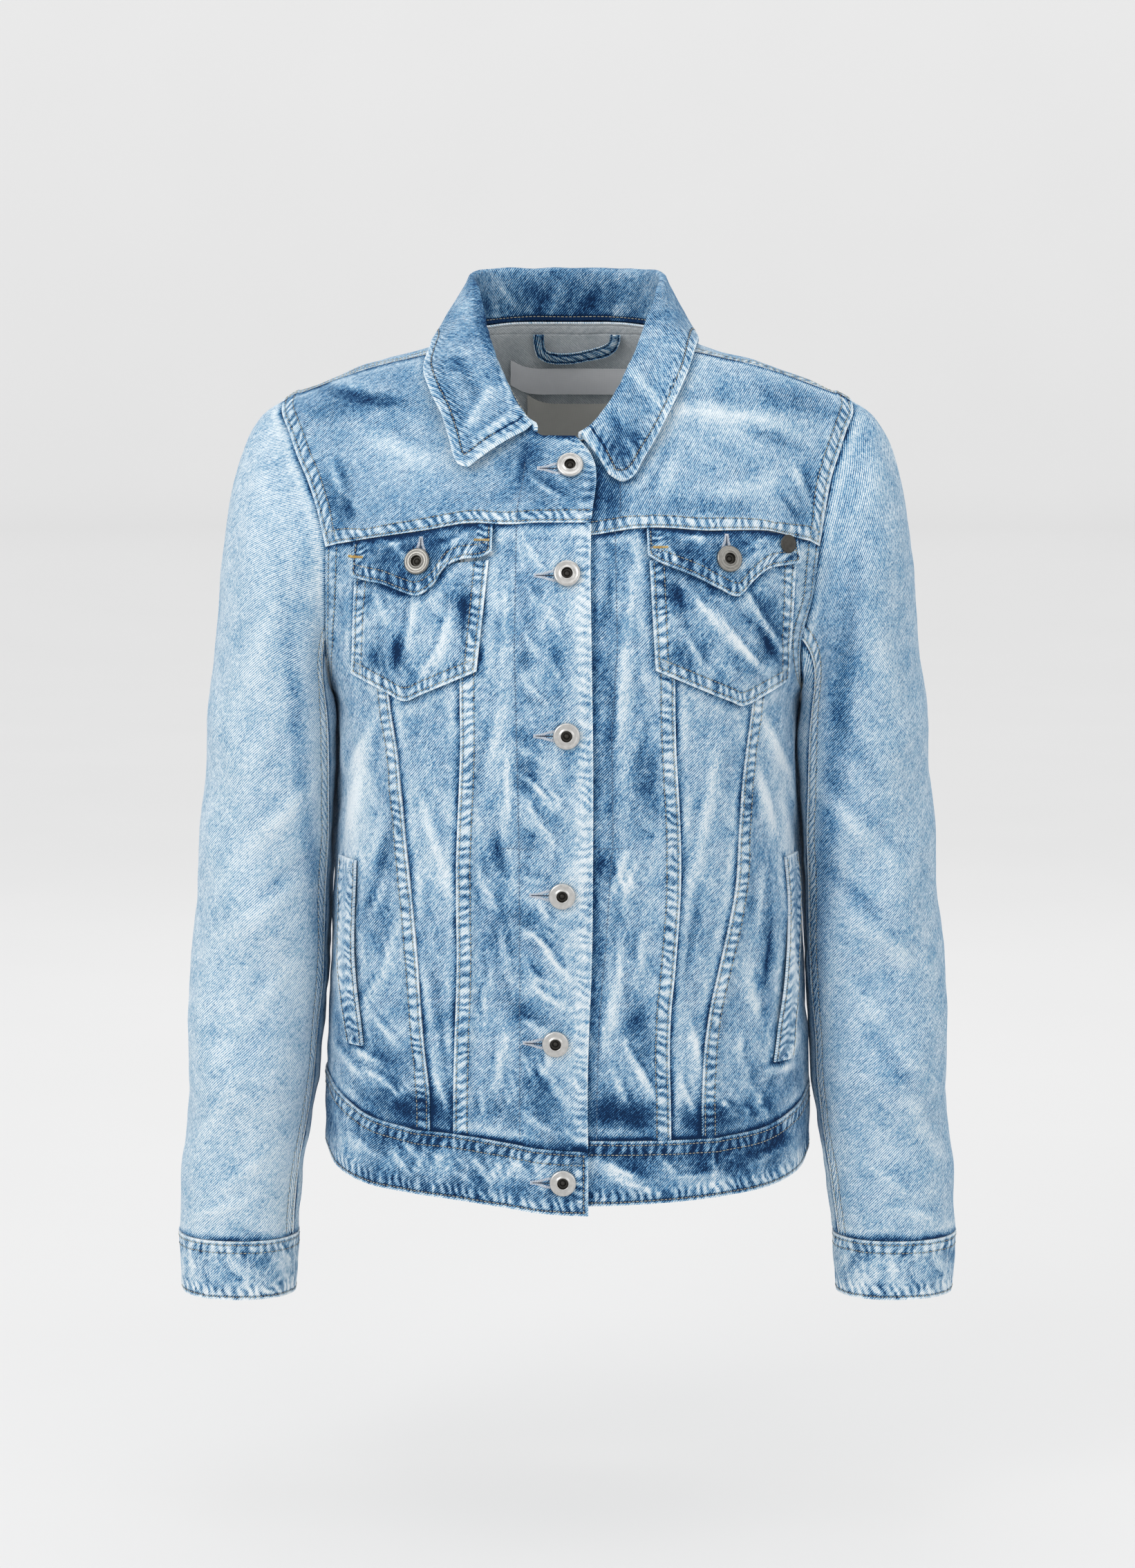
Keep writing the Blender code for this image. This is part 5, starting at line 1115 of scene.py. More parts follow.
@dataclass
class ClothPiece:
    """One cut piece of denim."""

    node: str
    zones: tuple[Zone, ...]
    top: Edge = Edge.PLAIN
    bottom: Edge = Edge.PLAIN
    left: Edge = Edge.PLAIN
    right: Edge = Edge.PLAIN
    rows: tuple[Row, ...] = ()
    wash: Wash = field(default_factory=Wash)
    double: bool = False
    cell: float = CELL
    below: str = ""

    def edge_at(self, border: Border) -> Edge:
        """Gives how a border is sewn."""
        return getattr(self, border.value)

    def hub(self, points: np.ndarray) -> np.ndarray:
        """Gives the middle of what the piece wraps round, beside each point."""
        if not self.node.startswith(("sleeve", "cuff")):
            return np.array(BODY_HUB)
        side = 1.0 if self.node.endswith("left") else -1.0
        share = np.clip((ARM_TOP - points[..., 2]) / ARM_DROP, 0, 1)
        out = side * (ARM_OUT + ARM_SPLAY * share)
        return np.stack((out, ARM_SWING * share, points[..., 2]), axis=-1)

    def oriented(self, one: np.ndarray, two: np.ndarray) -> Faces:
        """Turns both faces so that rows run down and columns to the right, seen from outside.

        Args:
            one: a face.
            two: the other face.

        Returns:
            The outer and the inner face.
        """
        fall = np.abs((one[-1] - one[0]).mean(axis=0)[2])
        drift = np.abs((one[:, -1] - one[:, 0]).mean(axis=0)[2])
        if drift > fall:
            one, two = np.swapaxes(one, 0, 1), np.swapaxes(two, 0, 1)
        if one[-1, :, 2].mean() > one[0, :, 2].mean():
            one, two = one[::-1], two[::-1]
        if np.sum((one - two) * (one - self.hub(one))) < 0:
            one, two = two, one
        across = np.gradient(one, axis=1)
        down = np.gradient(one, axis=0)
        if np.sum(np.cross(down, across) * (one - two)) < 0:
            one, two = one[:, ::-1], two[:, ::-1]
        return one, two

    def faces_of(self, nodes: Solids) -> Faces:
        """Finds the piece's outer and inner face in the frame's solid or pair of solids."""
        faces = self.oriented(*Rows(nodes[self.node].data).grids())
        if not self.below:
            return faces
        under = self.oriented(*Rows(nodes[self.below].data).grids())
        one, two = (
            np.concatenate((a[:-1], (a[-1:] + b[:1]) / 2, b[1:])) for a, b in zip(faces, under)
        )
        return one, two

    def shell(self, nodes: Solids) -> Shell:
        """Makes the fine faces with their creases and all that the wash and the painted shade follow.

        Args:
            nodes: the frame's solids by name.

        Returns:
            The shell.
        """
        coarse = self.faces_of(nodes)
        outer, inner, flat = finer([*coarse, flattened(coarse[0])], self.cell)
        normal = np.cross(np.gradient(outer, axis=0), np.gradient(outer, axis=1))
        normal /= np.maximum(np.linalg.norm(normal, axis=-1, keepdims=True), 1e-9)
        across, down = lengths(outer, 1), lengths(outer, 0)
        far = {
            Border.LEFT: across,
            Border.RIGHT: across[:, -1:] - across,
            Border.TOP: down,
            Border.BOTTOM: down[-1:] - down,
        }
        seed = sum(ord(letter) for letter in self.node)
        creases, shade = crease_height(outer, normal, self.zones)
        lift = creases + self.crumple(outer, seed)
        # The tone: the base, the crease tone (worn ridges, painted shade in troughs) and the shades, some painted
        # shade.
        tone = self.wash.base + self.wash.crease_wear_and_shade * creases + shade
        edge, under, sewn = (np.full_like(tone, FAR_OFF) for _ in range(3))
        run, rows = np.zeros_like(tone), np.full((*tone.shape, 3), FAR_OFF)
        for k, (border, reach) in enumerate(far.items()):
            along = down if border in (Border.LEFT, Border.RIGHT) else across
            kind = self.edge_at(border)
            if kind in (Edge.FELL, Edge.HEM):
                band = np.exp(-(((reach - ROPE_MIDDLE) / ROPE_MIDDLE) ** 4))
                band = band * np.clip(reach / 1.5, 0, 1)
                rope = wave(along + ROPE_SLANT * reach, ROPE_PITCH, seed + k)
                lift = lift + self.wash.rope_lift * rope * band
                run = np.where(reach < edge, along, run)
                edge = np.minimum(edge, reach)
            # Beside an edge that goes under, the material paints shade in the valley.
            elif kind is Edge.UNDER:
                band = np.exp(-(((reach - SWELL_MIDDLE) / 6) ** 2))
                lift = lift + SWELL * wave(along, SWELL_PITCH, seed + k + 50) * band
                under = np.minimum(under, reach)
            # The distances from the rows of stitches, along which shade is painted.
            beside = [reach - row.distance for row in self.rows if row.border is border]
            if beside:
                both = np.stack((beside[0], beside[-1], beside[0]), axis=-1)
                rows = np.where((reach < sewn)[..., None], both, rows)
                sewn = np.minimum(sewn, reach)
        rows[..., 2] = self.wash.marble
        calm = np.clip(np.minimum.reduce(list(far.values())) / EDGE_CALM, 0.25, 1)
        move = (lift * calm)[..., None] * normal
        seam = np.stack((edge, run, under), axis=-1)
        return Shell(self.node, outer + move, inner + move, normal, tone, flat, seam, rows)

    def crumple(self, points: np.ndarray, seed: int) -> np.ndarray:
        """Gives the small unevenness of worn cloth.

        Args:
            points: places on the piece.
            seed: which pattern.

        Returns:
            The heights.
        """
        chance = np.random.default_rng(seed)
        height = np.zeros(points.shape[:-1])
        for pitch in CRUMPLE_PITCHES:
            for _ in range(CRUMPLE_WAVES):
                way = chance.normal(size=3)
                way /= np.linalg.norm(way)
                phase = chance.uniform(0, CRUMPLE_TURN)
                share = pitch / CRUMPLE_PITCHES[0]
                height += share * np.sin(points @ way * CRUMPLE_TURN / pitch + phase)
        return self.wash.crumple * height

    def dress(self, shell: Shell, face: Finish, reverse: Finish) -> Thing:
        """Makes the piece's mesh and puts it in its node's place.

        Args:
            shell: its faces.
            face: the finish of the right side.
            reverse: the finish of the wrong side.

        Returns:
            The finished piece.
        """
        rows, columns = shell.outer.shape[:2]
        count = rows * columns
        at = np.arange(count).reshape(rows, columns)
        quads = quads_of(at)
        rim = np.concatenate((at[0, :], at[1:, -1], at[-1, -2::-1], at[-2:0:-1, 0]))
        beyond = np.roll(rim, -1)
        wall = np.stack((rim, beyond, beyond + count, rim + count), axis=-1)
        faces = np.concatenate((quads, quads[:, ::-1] + count, wall))
        points = np.concatenate((shell.outer.reshape(-1, 3), shell.inner.reshape(-1, 3))) * MM
        mesh = bpy.data.meshes.new("cloth_" + self.node)
        mesh.from_pydata(points.tolist(), [], faces.tolist())
        mesh.materials.append(face)
        mesh.materials.append(face if self.double else reverse)
        slots = np.zeros(len(faces), dtype=np.int32)
        slots[len(quads) : 2 * len(quads)] = 1
        mesh.polygons.foreach_set("material_index", slots)
        tone = mesh.attributes.new("tone", "FLOAT", "POINT")
        tone.data.foreach_set("value", np.tile(shell.tone.ravel(), 2).astype(np.float32))
        for label, given in (("seam", shell.seam), ("rows", shell.rows)):
            made = mesh.attributes.new(label, "FLOAT_VECTOR", "POINT")
            made.data.foreach_set("vector", np.tile(given.ravel(), 2).astype(np.float32))
        loops = np.zeros(len(mesh.loops), dtype=np.int32)
        mesh.loops.foreach_get("vertex_index", loops)
        place = np.tile(shell.flat.reshape(-1, 2) * MM, (2, 1))[loops].astype(np.float32)
        mesh.uv_layers.new(name="cloth").data.foreach_set("uv", place.ravel())
        mesh.update()
        mesh.shade_smooth()
        mesh.set_sharp_from_angle(angle=math.radians(60))
        return self.settle(mesh, shell.cut)

    def settle(self, mesh: bpy.types.Mesh, cut: Cut) -> Thing:
        """Adds the piece to the scene in its node's place and states its cut.

        Args:
            mesh: the finished mesh.
            cut: the flat size that it is cut to.

        Returns:
            The piece.
        """
        nodes = (self.node, self.below) if self.below else (self.node,)
        thing = riding("cloth_" + self.node, mesh, "denim", *nodes)
        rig.sheet(thing, flat=(cut.width, cut.length), held="hung", area=cut.area)
        LOG.info(
            "%s: %d faces, %.3f x %.3f m, %.4f m2",
            thing.name, len(mesh.polygons), cut.width, cut.length, cut.area,
        )
        return thing


COLLAR_EDGE: tuple[Triple, ...] = (
    (-64.5, -86.5, -72.5), (-71.5, -84.5, -70.5), (-76.0, -77.0, -57.0), (-81.0, -69.5, -41.5),
    (-88.0, -61.0, -28.0), (-93.5, -45.0, -12.5), (-89.5, -17.0, 3.0), (-89.2, -1.9, 5.7),
    (-89.0, 14.0, 5.5), (-88.7, 31.1, 2.5), (-85.0, 48.0, -2.0), (-74.9, 64.5, -6.7),
    (-58.0, 78.0, -11.0), (-30.9, 85.5, -13.8), (0.0, 88.0, -15.0), (31.0, 85.5, -13.8),
    (58.0, 78.0, -11.0), (74.5, 64.5, -6.8), (84.0, 48.0, -2.0), (87.0, 31.4, 2.7),
    (86.5, 14.0, 6.0), (86.1, -4.4, 6.5), (84.5, -22.0, 3.5), (77.0, -50.0, -16.5),
    (67.0, -65.0, -37.0), (57.5, -75.5, -55.0), (49.0, -83.5, -69.0), (42.0, -90.5, -80.0),
    (35.0, -92.5, -82.0), (27.0, -91.0, -77.5),
)
COLLAR_CELLS = 10


@dataclass
class Collar(ClothPiece):
    """The turned-down collar, whose rows run from the neck seam over the roll to the edge."""

    def faces_of(self, nodes: Solids) -> Faces:
        """Finds the collar's two faces, starting at its edge.

        Args:
            nodes: the frame's solids by name.

        Returns:
            The face that shows and the one inside the fold.
        """
        mesh = nodes[self.node].data
        outer, inner = Rows(mesh).from_edge(np.array(COLLAR_EDGE), COLLAR_CELLS)
        return outer[::-1, ::-1], inner[::-1, ::-1]


# --- Finishes ---

class Nodes:
    """Builds a node tree in a few words for each node."""

    def __init__(self, tree: bpy.types.NodeTree) -> None:
        """Takes the tree to add nodes to."""
        self.tree = tree

    def node(self, kind: str, inputs: dict | None = None, **settings: object) -> bpy.types.Node:
        """Adds a node.

        Args:
            kind: its type.
            inputs: what goes into its sockets, by their names or numbers.
            settings: its properties.

        Returns:
            The node.
        """
        made = self.tree.nodes.new(kind)
        for name, value in settings.items():
            setattr(made, name, value)
        for socket, value in (inputs or {}).items():
            self.feed(made.inputs[socket], value)
        return made

    def feed(self, target: Socket, value: object) -> None:
        """Gives a socket another node's output or a fixed value."""
        if isinstance(value, Socket):
            self.tree.links.new(value, target)
        else:
            target.default_value = value


class Weave(Nodes):
    """Builds a material's nodes in a few words each."""

    def __init__(self, name: str) -> None:
        """Starts a material with one Principled shader.

        Args:
            name: the material's name.
        """
        self.material = bpy.data.materials.new(name)
        self.material.use_nodes = True
        super().__init__(self.material.node_tree)

    def finish(self, **given: object) -> Finish:
        """Sets the shader's inputs, named in lower case with underscores.

        Args:
            given: sockets or fixed values.

        Returns:
            The finished material.
        """
        shader = self.tree.nodes["Principled BSDF"]
        for name, value in given.items():
            label = name.replace("_", " ").title().replace("Ior", "IOR")
            self.feed(shader.inputs[label], value)
        return self.material

    def maths(self, kind: str, *inputs: object) -> Socket:
        """Adds a maths node with sockets or numbers as its inputs and gives its output."""
        return self.node("ShaderNodeMath", dict(enumerate(inputs)), operation=kind).outputs[0]

    def vector(self, kind: str, *inputs: object) -> Socket:
        """Adds a vector maths node and gives its output, a number for a dot product."""
        made = self.node("ShaderNodeVectorMath", dict(enumerate(inputs)), operation=kind)
        return made.outputs["Value" if kind == "DOT_PRODUCT" else "Vector"]

    def on_object(self) -> Socket:
        """Gives the object's own coordinates."""
        return self.node("ShaderNodeTexCoord").outputs["Object"]

    def on_cloth(self) -> Socket:
        """Gives places on the cloth's flat pattern."""
        return self.node("ShaderNodeUVMap", uv_map="cloth").outputs["UV"]

    def noise(self, place: object, scale: float, detail: float = 2.0) -> Socket:
        """Adds a noise from -0.5 to 0.5, whose scale is its repeats to the metre."""
        inputs = {"Scale": scale, "Detail": detail, "Vector": place}
        made = self.node("ShaderNodeTexNoise", inputs)
        return self.maths("SUBTRACT", made.outputs["Fac"], 0.5)

    def bell(self, value: object, centre: float, width: float, power: float = 2.0) -> Socket:
        """Gives a soft bump from 0 to 1 where a value nears a centre."""
        off = self.maths("DIVIDE", self.maths("SUBTRACT", value, centre), width)
        far = self.maths("POWER", self.maths("ABSOLUTE", off), power)
        return self.maths("EXPONENT", self.maths("MULTIPLY", far, -1.0))

    def given(self, label: str) -> tuple[Socket, ...]:
        """Gives the three parts of one of the cloth's attributes."""
        source = self.node("ShaderNodeAttribute", attribute_name=label).outputs["Vector"]
        return tuple(self.node("ShaderNodeSeparateXYZ", {0: source}).outputs)

    def total(self, *parts: tuple[object, float]) -> Socket:
        """Adds up values, each times its weight."""
        result: object = 0.0
        for value, weight in parts:
            result = self.maths("MULTIPLY_ADD", value, weight, result)
        return result

    def ramp(self, level: object, stops: Stops) -> Socket:
        """Adds a colour ramp.

        Args:
            level: the value that picks the colour.
            stops: places and linear colours.

        Returns:
            The colour.
        """
        made = self.node("ShaderNodeValToRGB", {"Fac": level})
        elements = made.color_ramp.elements
        while len(elements) < len(stops):
            elements.new(0.5)
        for element, (place, colour) in zip(elements, stops):
            element.position = place
            element.color = (*colour, 1.0)
        return made.outputs["Color"]

    def bump(self, height: object, strength: float, depth: float) -> Socket:
        """Gives the direction of a surface raised by a height, of which one is the depth."""
        inputs = {"Strength": strength, "Distance": depth, "Height": height}
        return self.node("ShaderNodeBump", inputs).outputs["Normal"]


@dataclass(frozen=True)
class Denim:
    """Washed twill: colours from dark to pale, and how strongly its threads show."""

    name: str
    stops: Stops
    rib: float = 0.00125
    rib_share: float = 0.20
    fleck: float = 0.5
    seams: float = 1.0
    roughness: float = 0.88

    def material(self) -> Finish:
        """Makes the material from the cloth's coordinates and what its wash and painted shade follow."""
        weave = Weave(self.name)
        place = weave.on_cloth()
        tone = weave.node("ShaderNodeAttribute", attribute_name="tone").outputs["Fac"]
        edge, run, under = weave.given("seam")
        near, far, marble = weave.given("rows")
        across = weave.vector("DOT_PRODUCT", place, (0.7071, -0.7071, 0.0))
        stray = weave.noise(place, 260.0, 1.0)
        along = weave.maths("MULTIPLY", across, TURN / self.rib)
        rib = weave.maths("SINE", weave.maths("MULTIPLY_ADD", stray, 2.4, along))
        yarn = weave.noise(weave.vector("MULTIPLY", place, (2.6, 0.5, 1.0)), 700.0, 1.0)
        speck = weave.noise(place, 900.0, 1.0)
        grain = {"X": weave.vector("DOT_PRODUCT", place, (0.3, 0.3, 0.0)), "Y": across}
        turned = weave.node("ShaderNodeCombineXYZ", grain).outputs["Vector"]
        streak, brush = weave.noise(turned, 620.0, 2.0), weave.noise(turned, 230.0, 2.0)
        blotch = weave.noise(place, 62.0, 3.0)
        bent = self.bent(weave, place)
        vein = weave.bell(weave.noise(bent, 80.0, 3.0), 0.0, 0.035)
        cloud = weave.noise(bent, 42.0, 3.0)
        marbling = weave.maths("MULTIPLY", marble, weave.total((vein, 0.15), (cloud, 1.0)))
        strength = weave.maths("MULTIPLY_ADD", blotch, 1.6, 1.0)
        level = weave.total(
            (tone, 1.0),
            (weave.maths("MULTIPLY", rib, strength), self.rib_share),
            (yarn, self.fleck),
            (speck, 0.9 * self.fleck),
            (blotch, 0.35),
            (streak, 1.2 * self.fleck),
            (brush, 0.3 * self.fleck),
            (marbling, 1.0),
            (self.sewn(weave, edge, run, under, near, far, place), self.seams),
        )
        level = weave.maths("MULTIPLY_ADD", level, 1.25, 0.48)
        groove = weave.maths("ADD", weave.bell(near, 0.0, 0.9), weave.bell(far, 0.0, 0.9))
        height = weave.total((rib, 0.4), (yarn, 1.2), (cloud, 3.0), (groove, -2.5))
        return weave.finish(
            base_color=weave.ramp(level, self.stops),
            roughness=self.roughness,
            sheen_weight=0.02,
            sheen_roughness=0.6,
            specular_ior_level=0.1,
            normal=weave.bump(height, 0.5, 0.0003),
        )

    @staticmethod
    def bent(weave: Weave, place: Socket) -> Socket:
        """Gives coordinates that wander, for patterns without a grain."""
        made = weave.node("ShaderNodeTexNoise", {"Scale": 46.0, "Vector": place})
        off = weave.vector("MULTIPLY", made.outputs["Color"], (0.020, 0.016, 0.0))
        return weave.vector("MULTIPLY", weave.vector("ADD", place, off), (1.5, 0.7, 1.0))

    @staticmethod
    def sewn(weave: Weave, *given: Socket) -> Socket:
        """Gives the tone of sewn edges: a pale rim, roping, painted shade in stitch rows and valleys.

        Args:
            weave: the material's nodes.
            given: the distance from the edge, the place along it, the distance from an edge that
                goes under, the distances from two rows of stitches and the cloth's coordinates.

        Returns:
            The tone.
        """
        edge, run, under, near, far, place = given
        slant = weave.maths("MULTIPLY_ADD", edge, 0.25, run)
        drift = weave.noise(place, 55.0, 2.0)
        along = weave.maths("MULTIPLY", slant, TURN / 6.4)
        rope = weave.maths("SINE", weave.maths("MULTIPLY_ADD", drift, 17.0, along))
        band = weave.bell(edge, 4.6, 5.0, 4.0)
        patchy = weave.maths("MULTIPLY_ADD", weave.noise(place, 34.0, 2.0), 3.2, 1.0)
        return weave.total(
            (weave.bell(edge, 0.0, 1.5), 0.26),
            (weave.maths("MULTIPLY", rope, band), 0.14),
            (band, 0.07),
            # Painted shade along the two rows of stitches.
            (weave.bell(near, 0.0, 0.7), -0.26),
            (weave.bell(far, 0.0, 0.7), -0.26),
            (weave.maths("MULTIPLY", rope, weave.bell(near, 5.0, 4.0, 4.0)), 0.09),
            # Painted shade in the valley beside an edge that goes under or lies under another piece; a pale band
            # beyond it.
            (weave.maths("MULTIPLY", weave.bell(under, 0.0, 2.3), patchy), -0.36),
            (weave.maths("MULTIPLY", weave.bell(under, 6.0, 2.6), patchy), 0.09),
        )


def linear(*parts: int) -> Triple:
    """Turns a screen colour from 0 to 255 into a linear one."""
    return tuple(((part / 255 + 0.055) / 1.055) ** 2.4 for part in parts)


DENIM_STOPS: Stops = (
    (0.0, linear(12, 40, 74)),
    (0.10, linear(28, 70, 114)),
    (0.22, linear(54, 104, 150)),
    (0.34, linear(88, 138, 177)),
    (0.47, linear(126, 168, 197)),
    (0.60, linear(160, 187, 206)),
    (0.72, linear(187, 206, 218)),
    (0.84, linear(208, 220, 228)),
    (1.0, linear(230, 237, 241)),
)
# The wrong side's pale twill, made paler still as painted light for the shaded inside of the neck.
REVERSE_STOPS: Stops = (
    (0.0, linear(158, 168, 174)),
    (0.3, linear(190, 197, 201)),
    (0.6, linear(216, 220, 222)),
    (1.0, linear(238, 240, 240)),
)
RIGHT_SIDE = Denim("washed_denim", DENIM_STOPS)
WRONG_SIDE = Denim("denim_reverse", REVERSE_STOPS, rib_share=0.14, fleck=0.3, seams=0.3)


@dataclass(frozen=True)
class Tape:
    """A plain woven label."""

    name: str
    colour: Triple
    pitch: float = 0.0008

    def material(self) -> Finish:
        """Makes the material: fine cross threads on the label's own coordinates."""
        weave = Weave(self.name)
        place, turns = weave.on_cloth(), TURN / self.pitch
        warp = weave.maths("SINE", weave.vector("DOT_PRODUCT", place, (turns, 0.0, 0.0)))
        weft = weave.maths("SINE", weave.vector("DOT_PRODUCT", place, (0.0, turns, 0.0)))
        threads = weave.total((warp, 0.06), (weft, 0.06), (weave.noise(place, 120.0, 2.0), 0.3))
        dark = tuple(0.82 * part for part in self.colour)
        pale = tuple(min(1.0, 1.12 * part) for part in self.colour)
        return weave.finish(
            base_color=weave.ramp(weave.maths("ADD", threads, 0.5), ((0.0, dark), (1.0, pale))),
            roughness=0.8,
            normal=weave.bump(weave.total((warp, 0.5), (weft, 0.5)), 0.3, 0.0001),
        )


@dataclass(frozen=True)
class Thread:
    """Sewing thread with a slight change of colour from place to place."""

    name: str
    dark: Triple
    pale: Triple

    def material(self) -> Finish:
        """Makes the material on the object's coordinates."""
        weave = Weave(self.name)
        place = weave.on_object()
        level = weave.maths("ADD", weave.total((weave.noise(place, 240.0, 2.0), 1.6)), 0.5)
        return weave.finish(
            base_color=weave.ramp(level, ((0.0, self.dark), (1.0, self.pale))),
            roughness=0.62,
            sheen_weight=0.15,
            normal=weave.bump(weave.noise(place, 2600.0, 1.0), 0.4, 0.0001),
        )


@dataclass(frozen=True)
class Metal:
    """Tumbled metal with clouded colour and roughness and fine scuffs."""

    name: str
    dark: Triple
    pale: Triple
    roughness: float = 0.34

    def material(self) -> Finish:
        """Makes the material on the object's coordinates."""
        weave = Weave(self.name)
        place = weave.on_object()
        cloud, scuff = weave.noise(place, 420.0, 3.0), weave.noise(place, 1900.0, 2.0)
        level = weave.maths("ADD", weave.total((cloud, 0.9), (scuff, 0.5)), 0.5)
        return weave.finish(
            base_color=weave.ramp(level, ((0.0, self.dark), (1.0, self.pale))),
            metallic=1.0,
            roughness=weave.maths("MULTIPLY_ADD", cloud, 0.3, self.roughness),
            normal=weave.bump(scuff, 0.15, 0.0002),
        )


# Front buttons take a paler nickel than the flap and cuff buttons.
BRIGHT = Metal("bright_nickel", (0.42, 0.415, 0.40), (0.72, 0.71, 0.69), 0.34)
NICKEL = Metal("darker_nickel", (0.15, 0.145, 0.13), (0.36, 0.35, 0.33))
# The buttons' hollows: near-black metal, painted shade of the hollow.
SHADED = Metal("button_hollow", (0.030, 0.028, 0.026), (0.085, 0.080, 0.072), 0.55)
STUD = Metal("dark_stud", (0.035, 0.034, 0.032), (0.11, 0.105, 0.095), 0.42)
SEWING = Thread("khaki_thread", (0.24, 0.23, 0.17), (0.56, 0.54, 0.44))
TACKS = Thread("gold_thread", (0.50, 0.30, 0.06), (0.72, 0.50, 0.14))
BLUE = Thread("blue_thread", (0.045, 0.10, 0.19), (0.13, 0.22, 0.34))
# Near-black stitches that fill each buttonhole's slit: painted shade of the opening.
SLIT_SHADE = Thread("slit", (0.010, 0.018, 0.035), (0.03, 0.05, 0.09))
LILAC = Thread("buttonhole_thread", (0.52, 0.56, 0.63), (0.80, 0.83, 0.88))
WHITE_TAPE = Tape("white_label", (0.84, 0.84, 0.85))
CREAM_TAPE = Tape("cream_label", (0.60, 0.58, 0.53))


# --- Sewing ---

# How far ahead and behind a stitch looks for its heading.
NUDGE = 0.4


@dataclass
class Stitches:
    """Many stitches of one thread: where each lies, which way it runs and which way is out."""

    name: str
    thread: Thread
    length: float = 2.1
    width: float = 0.62
    places: list[np.ndarray] = field(default_factory=list)
    headings: list[np.ndarray] = field(default_factory=list)
    ups: list[np.ndarray] = field(default_factory=list)

    def sew(self, line: Line, pitch: float = 2.7, across: bool = False, lift: float = 0.12) -> None:
        """Lays stitches along a line.

        Args:
            line: where they go.
            pitch: the distance from one to the next.
            across: True for bars square to the line.
            lift: how far they stand off the cloth.
        """
        far = lengths(line.points, 0)
        count = max(1, int(far[-1] / pitch))
        at = (np.arange(count) + 0.5) * far[-1] / count
        up = read_at(at, far, line.ups)
        up /= np.maximum(np.linalg.norm(up, axis=1, keepdims=True), 1e-9)
        ahead, behind = (read_at(at + step, far, line.points) for step in (NUDGE, -NUDGE))
        self.places.append(read_at(at, far, line.points) + lift * up)
        run = ahead - behind
        self.headings.append(np.cross(up, run) if across else run)
        self.ups.append(up)

    def tree(self, finish: Finish) -> bpy.types.NodeTree:
        """Builds the nodes that put a stitch on each point.

        Args:
            finish: the thread's material.

        Returns:
            The node tree.
        """
        tree = bpy.data.node_groups.new("sew_" + self.name, "GeometryNodeTree")
        for label, kind in (("Places", "Geometry"), ("Length", "Float"), ("Width", "Float")):
            tree.interface.new_socket(label, in_out="INPUT", socket_type="NodeSocket" + kind)
        tree.interface.new_socket("Stitches", in_out="OUTPUT", socket_type="NodeSocketGeometry")
        nodes = Nodes(tree)
        start, end = nodes.node("NodeGroupInput"), nodes.node("NodeGroupOutput")
        ball = nodes.node("GeometryNodeMeshUVSphere", {"Segments": 5, "Rings": 4, "Radius": 0.5})
        heading, up = (
            nodes.node(
                "GeometryNodeInputNamedAttribute", {"Name": label}, data_type="FLOAT_VECTOR"
            ).outputs["Attribute"]
            for label in ("heading", "up")
        )
        turn = nodes.node(
            "FunctionNodeAxesToRotation", {0: heading, 1: up}, primary_axis="Z", secondary_axis="X"
        )
        limits = {"Min": 0.86, "Max": 1.14, "Seed": 7}
        chance = nodes.node("FunctionNodeRandomValue", limits, data_type="FLOAT").outputs["Value"]
        factors = {0: start.outputs["Length"], 1: chance}
        longer = nodes.node("ShaderNodeMath", factors, operation="MULTIPLY").outputs[0]
        width = start.outputs["Width"]
        size = nodes.node("ShaderNodeCombineXYZ", {"X": width, "Y": width, "Z": longer})
        lay = nodes.node("GeometryNodeInstanceOnPoints", {
            "Points": start.outputs["Places"],
            "Instance": ball.outputs["Mesh"],
            "Rotation": turn.outputs["Rotation"],
            "Scale": size.outputs["Vector"],
        })
        real = nodes.node("GeometryNodeRealizeInstances", {"Geometry": lay.outputs["Instances"]})
        given = {"Geometry": real.outputs["Geometry"], "Material": finish}
        dyed = nodes.node("GeometryNodeSetMaterial", given).outputs["Geometry"]
        nodes.feed(end.inputs[0], dyed)
        return tree

    def build(self, slot: str) -> Thing | None:
        """Makes one plain mesh of all the stitches.

        Args:
            slot: the record's material slot.

        Returns:
            The piece, or None if there are no stitches.
        """
        if not self.places:
            return None
        carrier = bpy.data.meshes.new("places_" + self.name)
        places = np.concatenate(self.places) * MM
        carrier.from_pydata(places.tolist(), [], [])
        for label, parts in (("heading", self.headings), ("up", self.ups)):
            given = carrier.attributes.new(label, "FLOAT_VECTOR", "POINT")
            given.data.foreach_set("vector", np.concatenate(parts).astype(np.float32).ravel())
        holder = placed("places_" + self.name, carrier)
        tree = self.tree(self.thread.material())
        modifier = holder.modifiers.new("sew", "NODES")
        modifier.node_group = tree
        sizes = {"Length": self.length * MM, "Width": self.width * MM}
        for item in tree.interface.items_tree:
            if item.in_out == "INPUT" and item.name in sizes:
                modifier[item.identifier] = sizes[item.name]
        bpy.context.view_layer.update()
        graph = bpy.context.evaluated_depsgraph_get()
        mesh = bpy.data.meshes.new_from_object(holder.evaluated_get(graph))
        holder.modifiers.remove(modifier)
        bpy.data.objects.remove(holder)
        mesh.name = "stitches_" + self.name
        mesh.shade_smooth()
        thing = riding(mesh.name, mesh, slot)
        LOG.info("%s: %d stitches, %d faces", thing.name, len(places), len(mesh.polygons))
        return thing


# The distance between points laid on the cloth, and how far off they start.
LAY_STEP, LAY_FROM = 1.2, 300


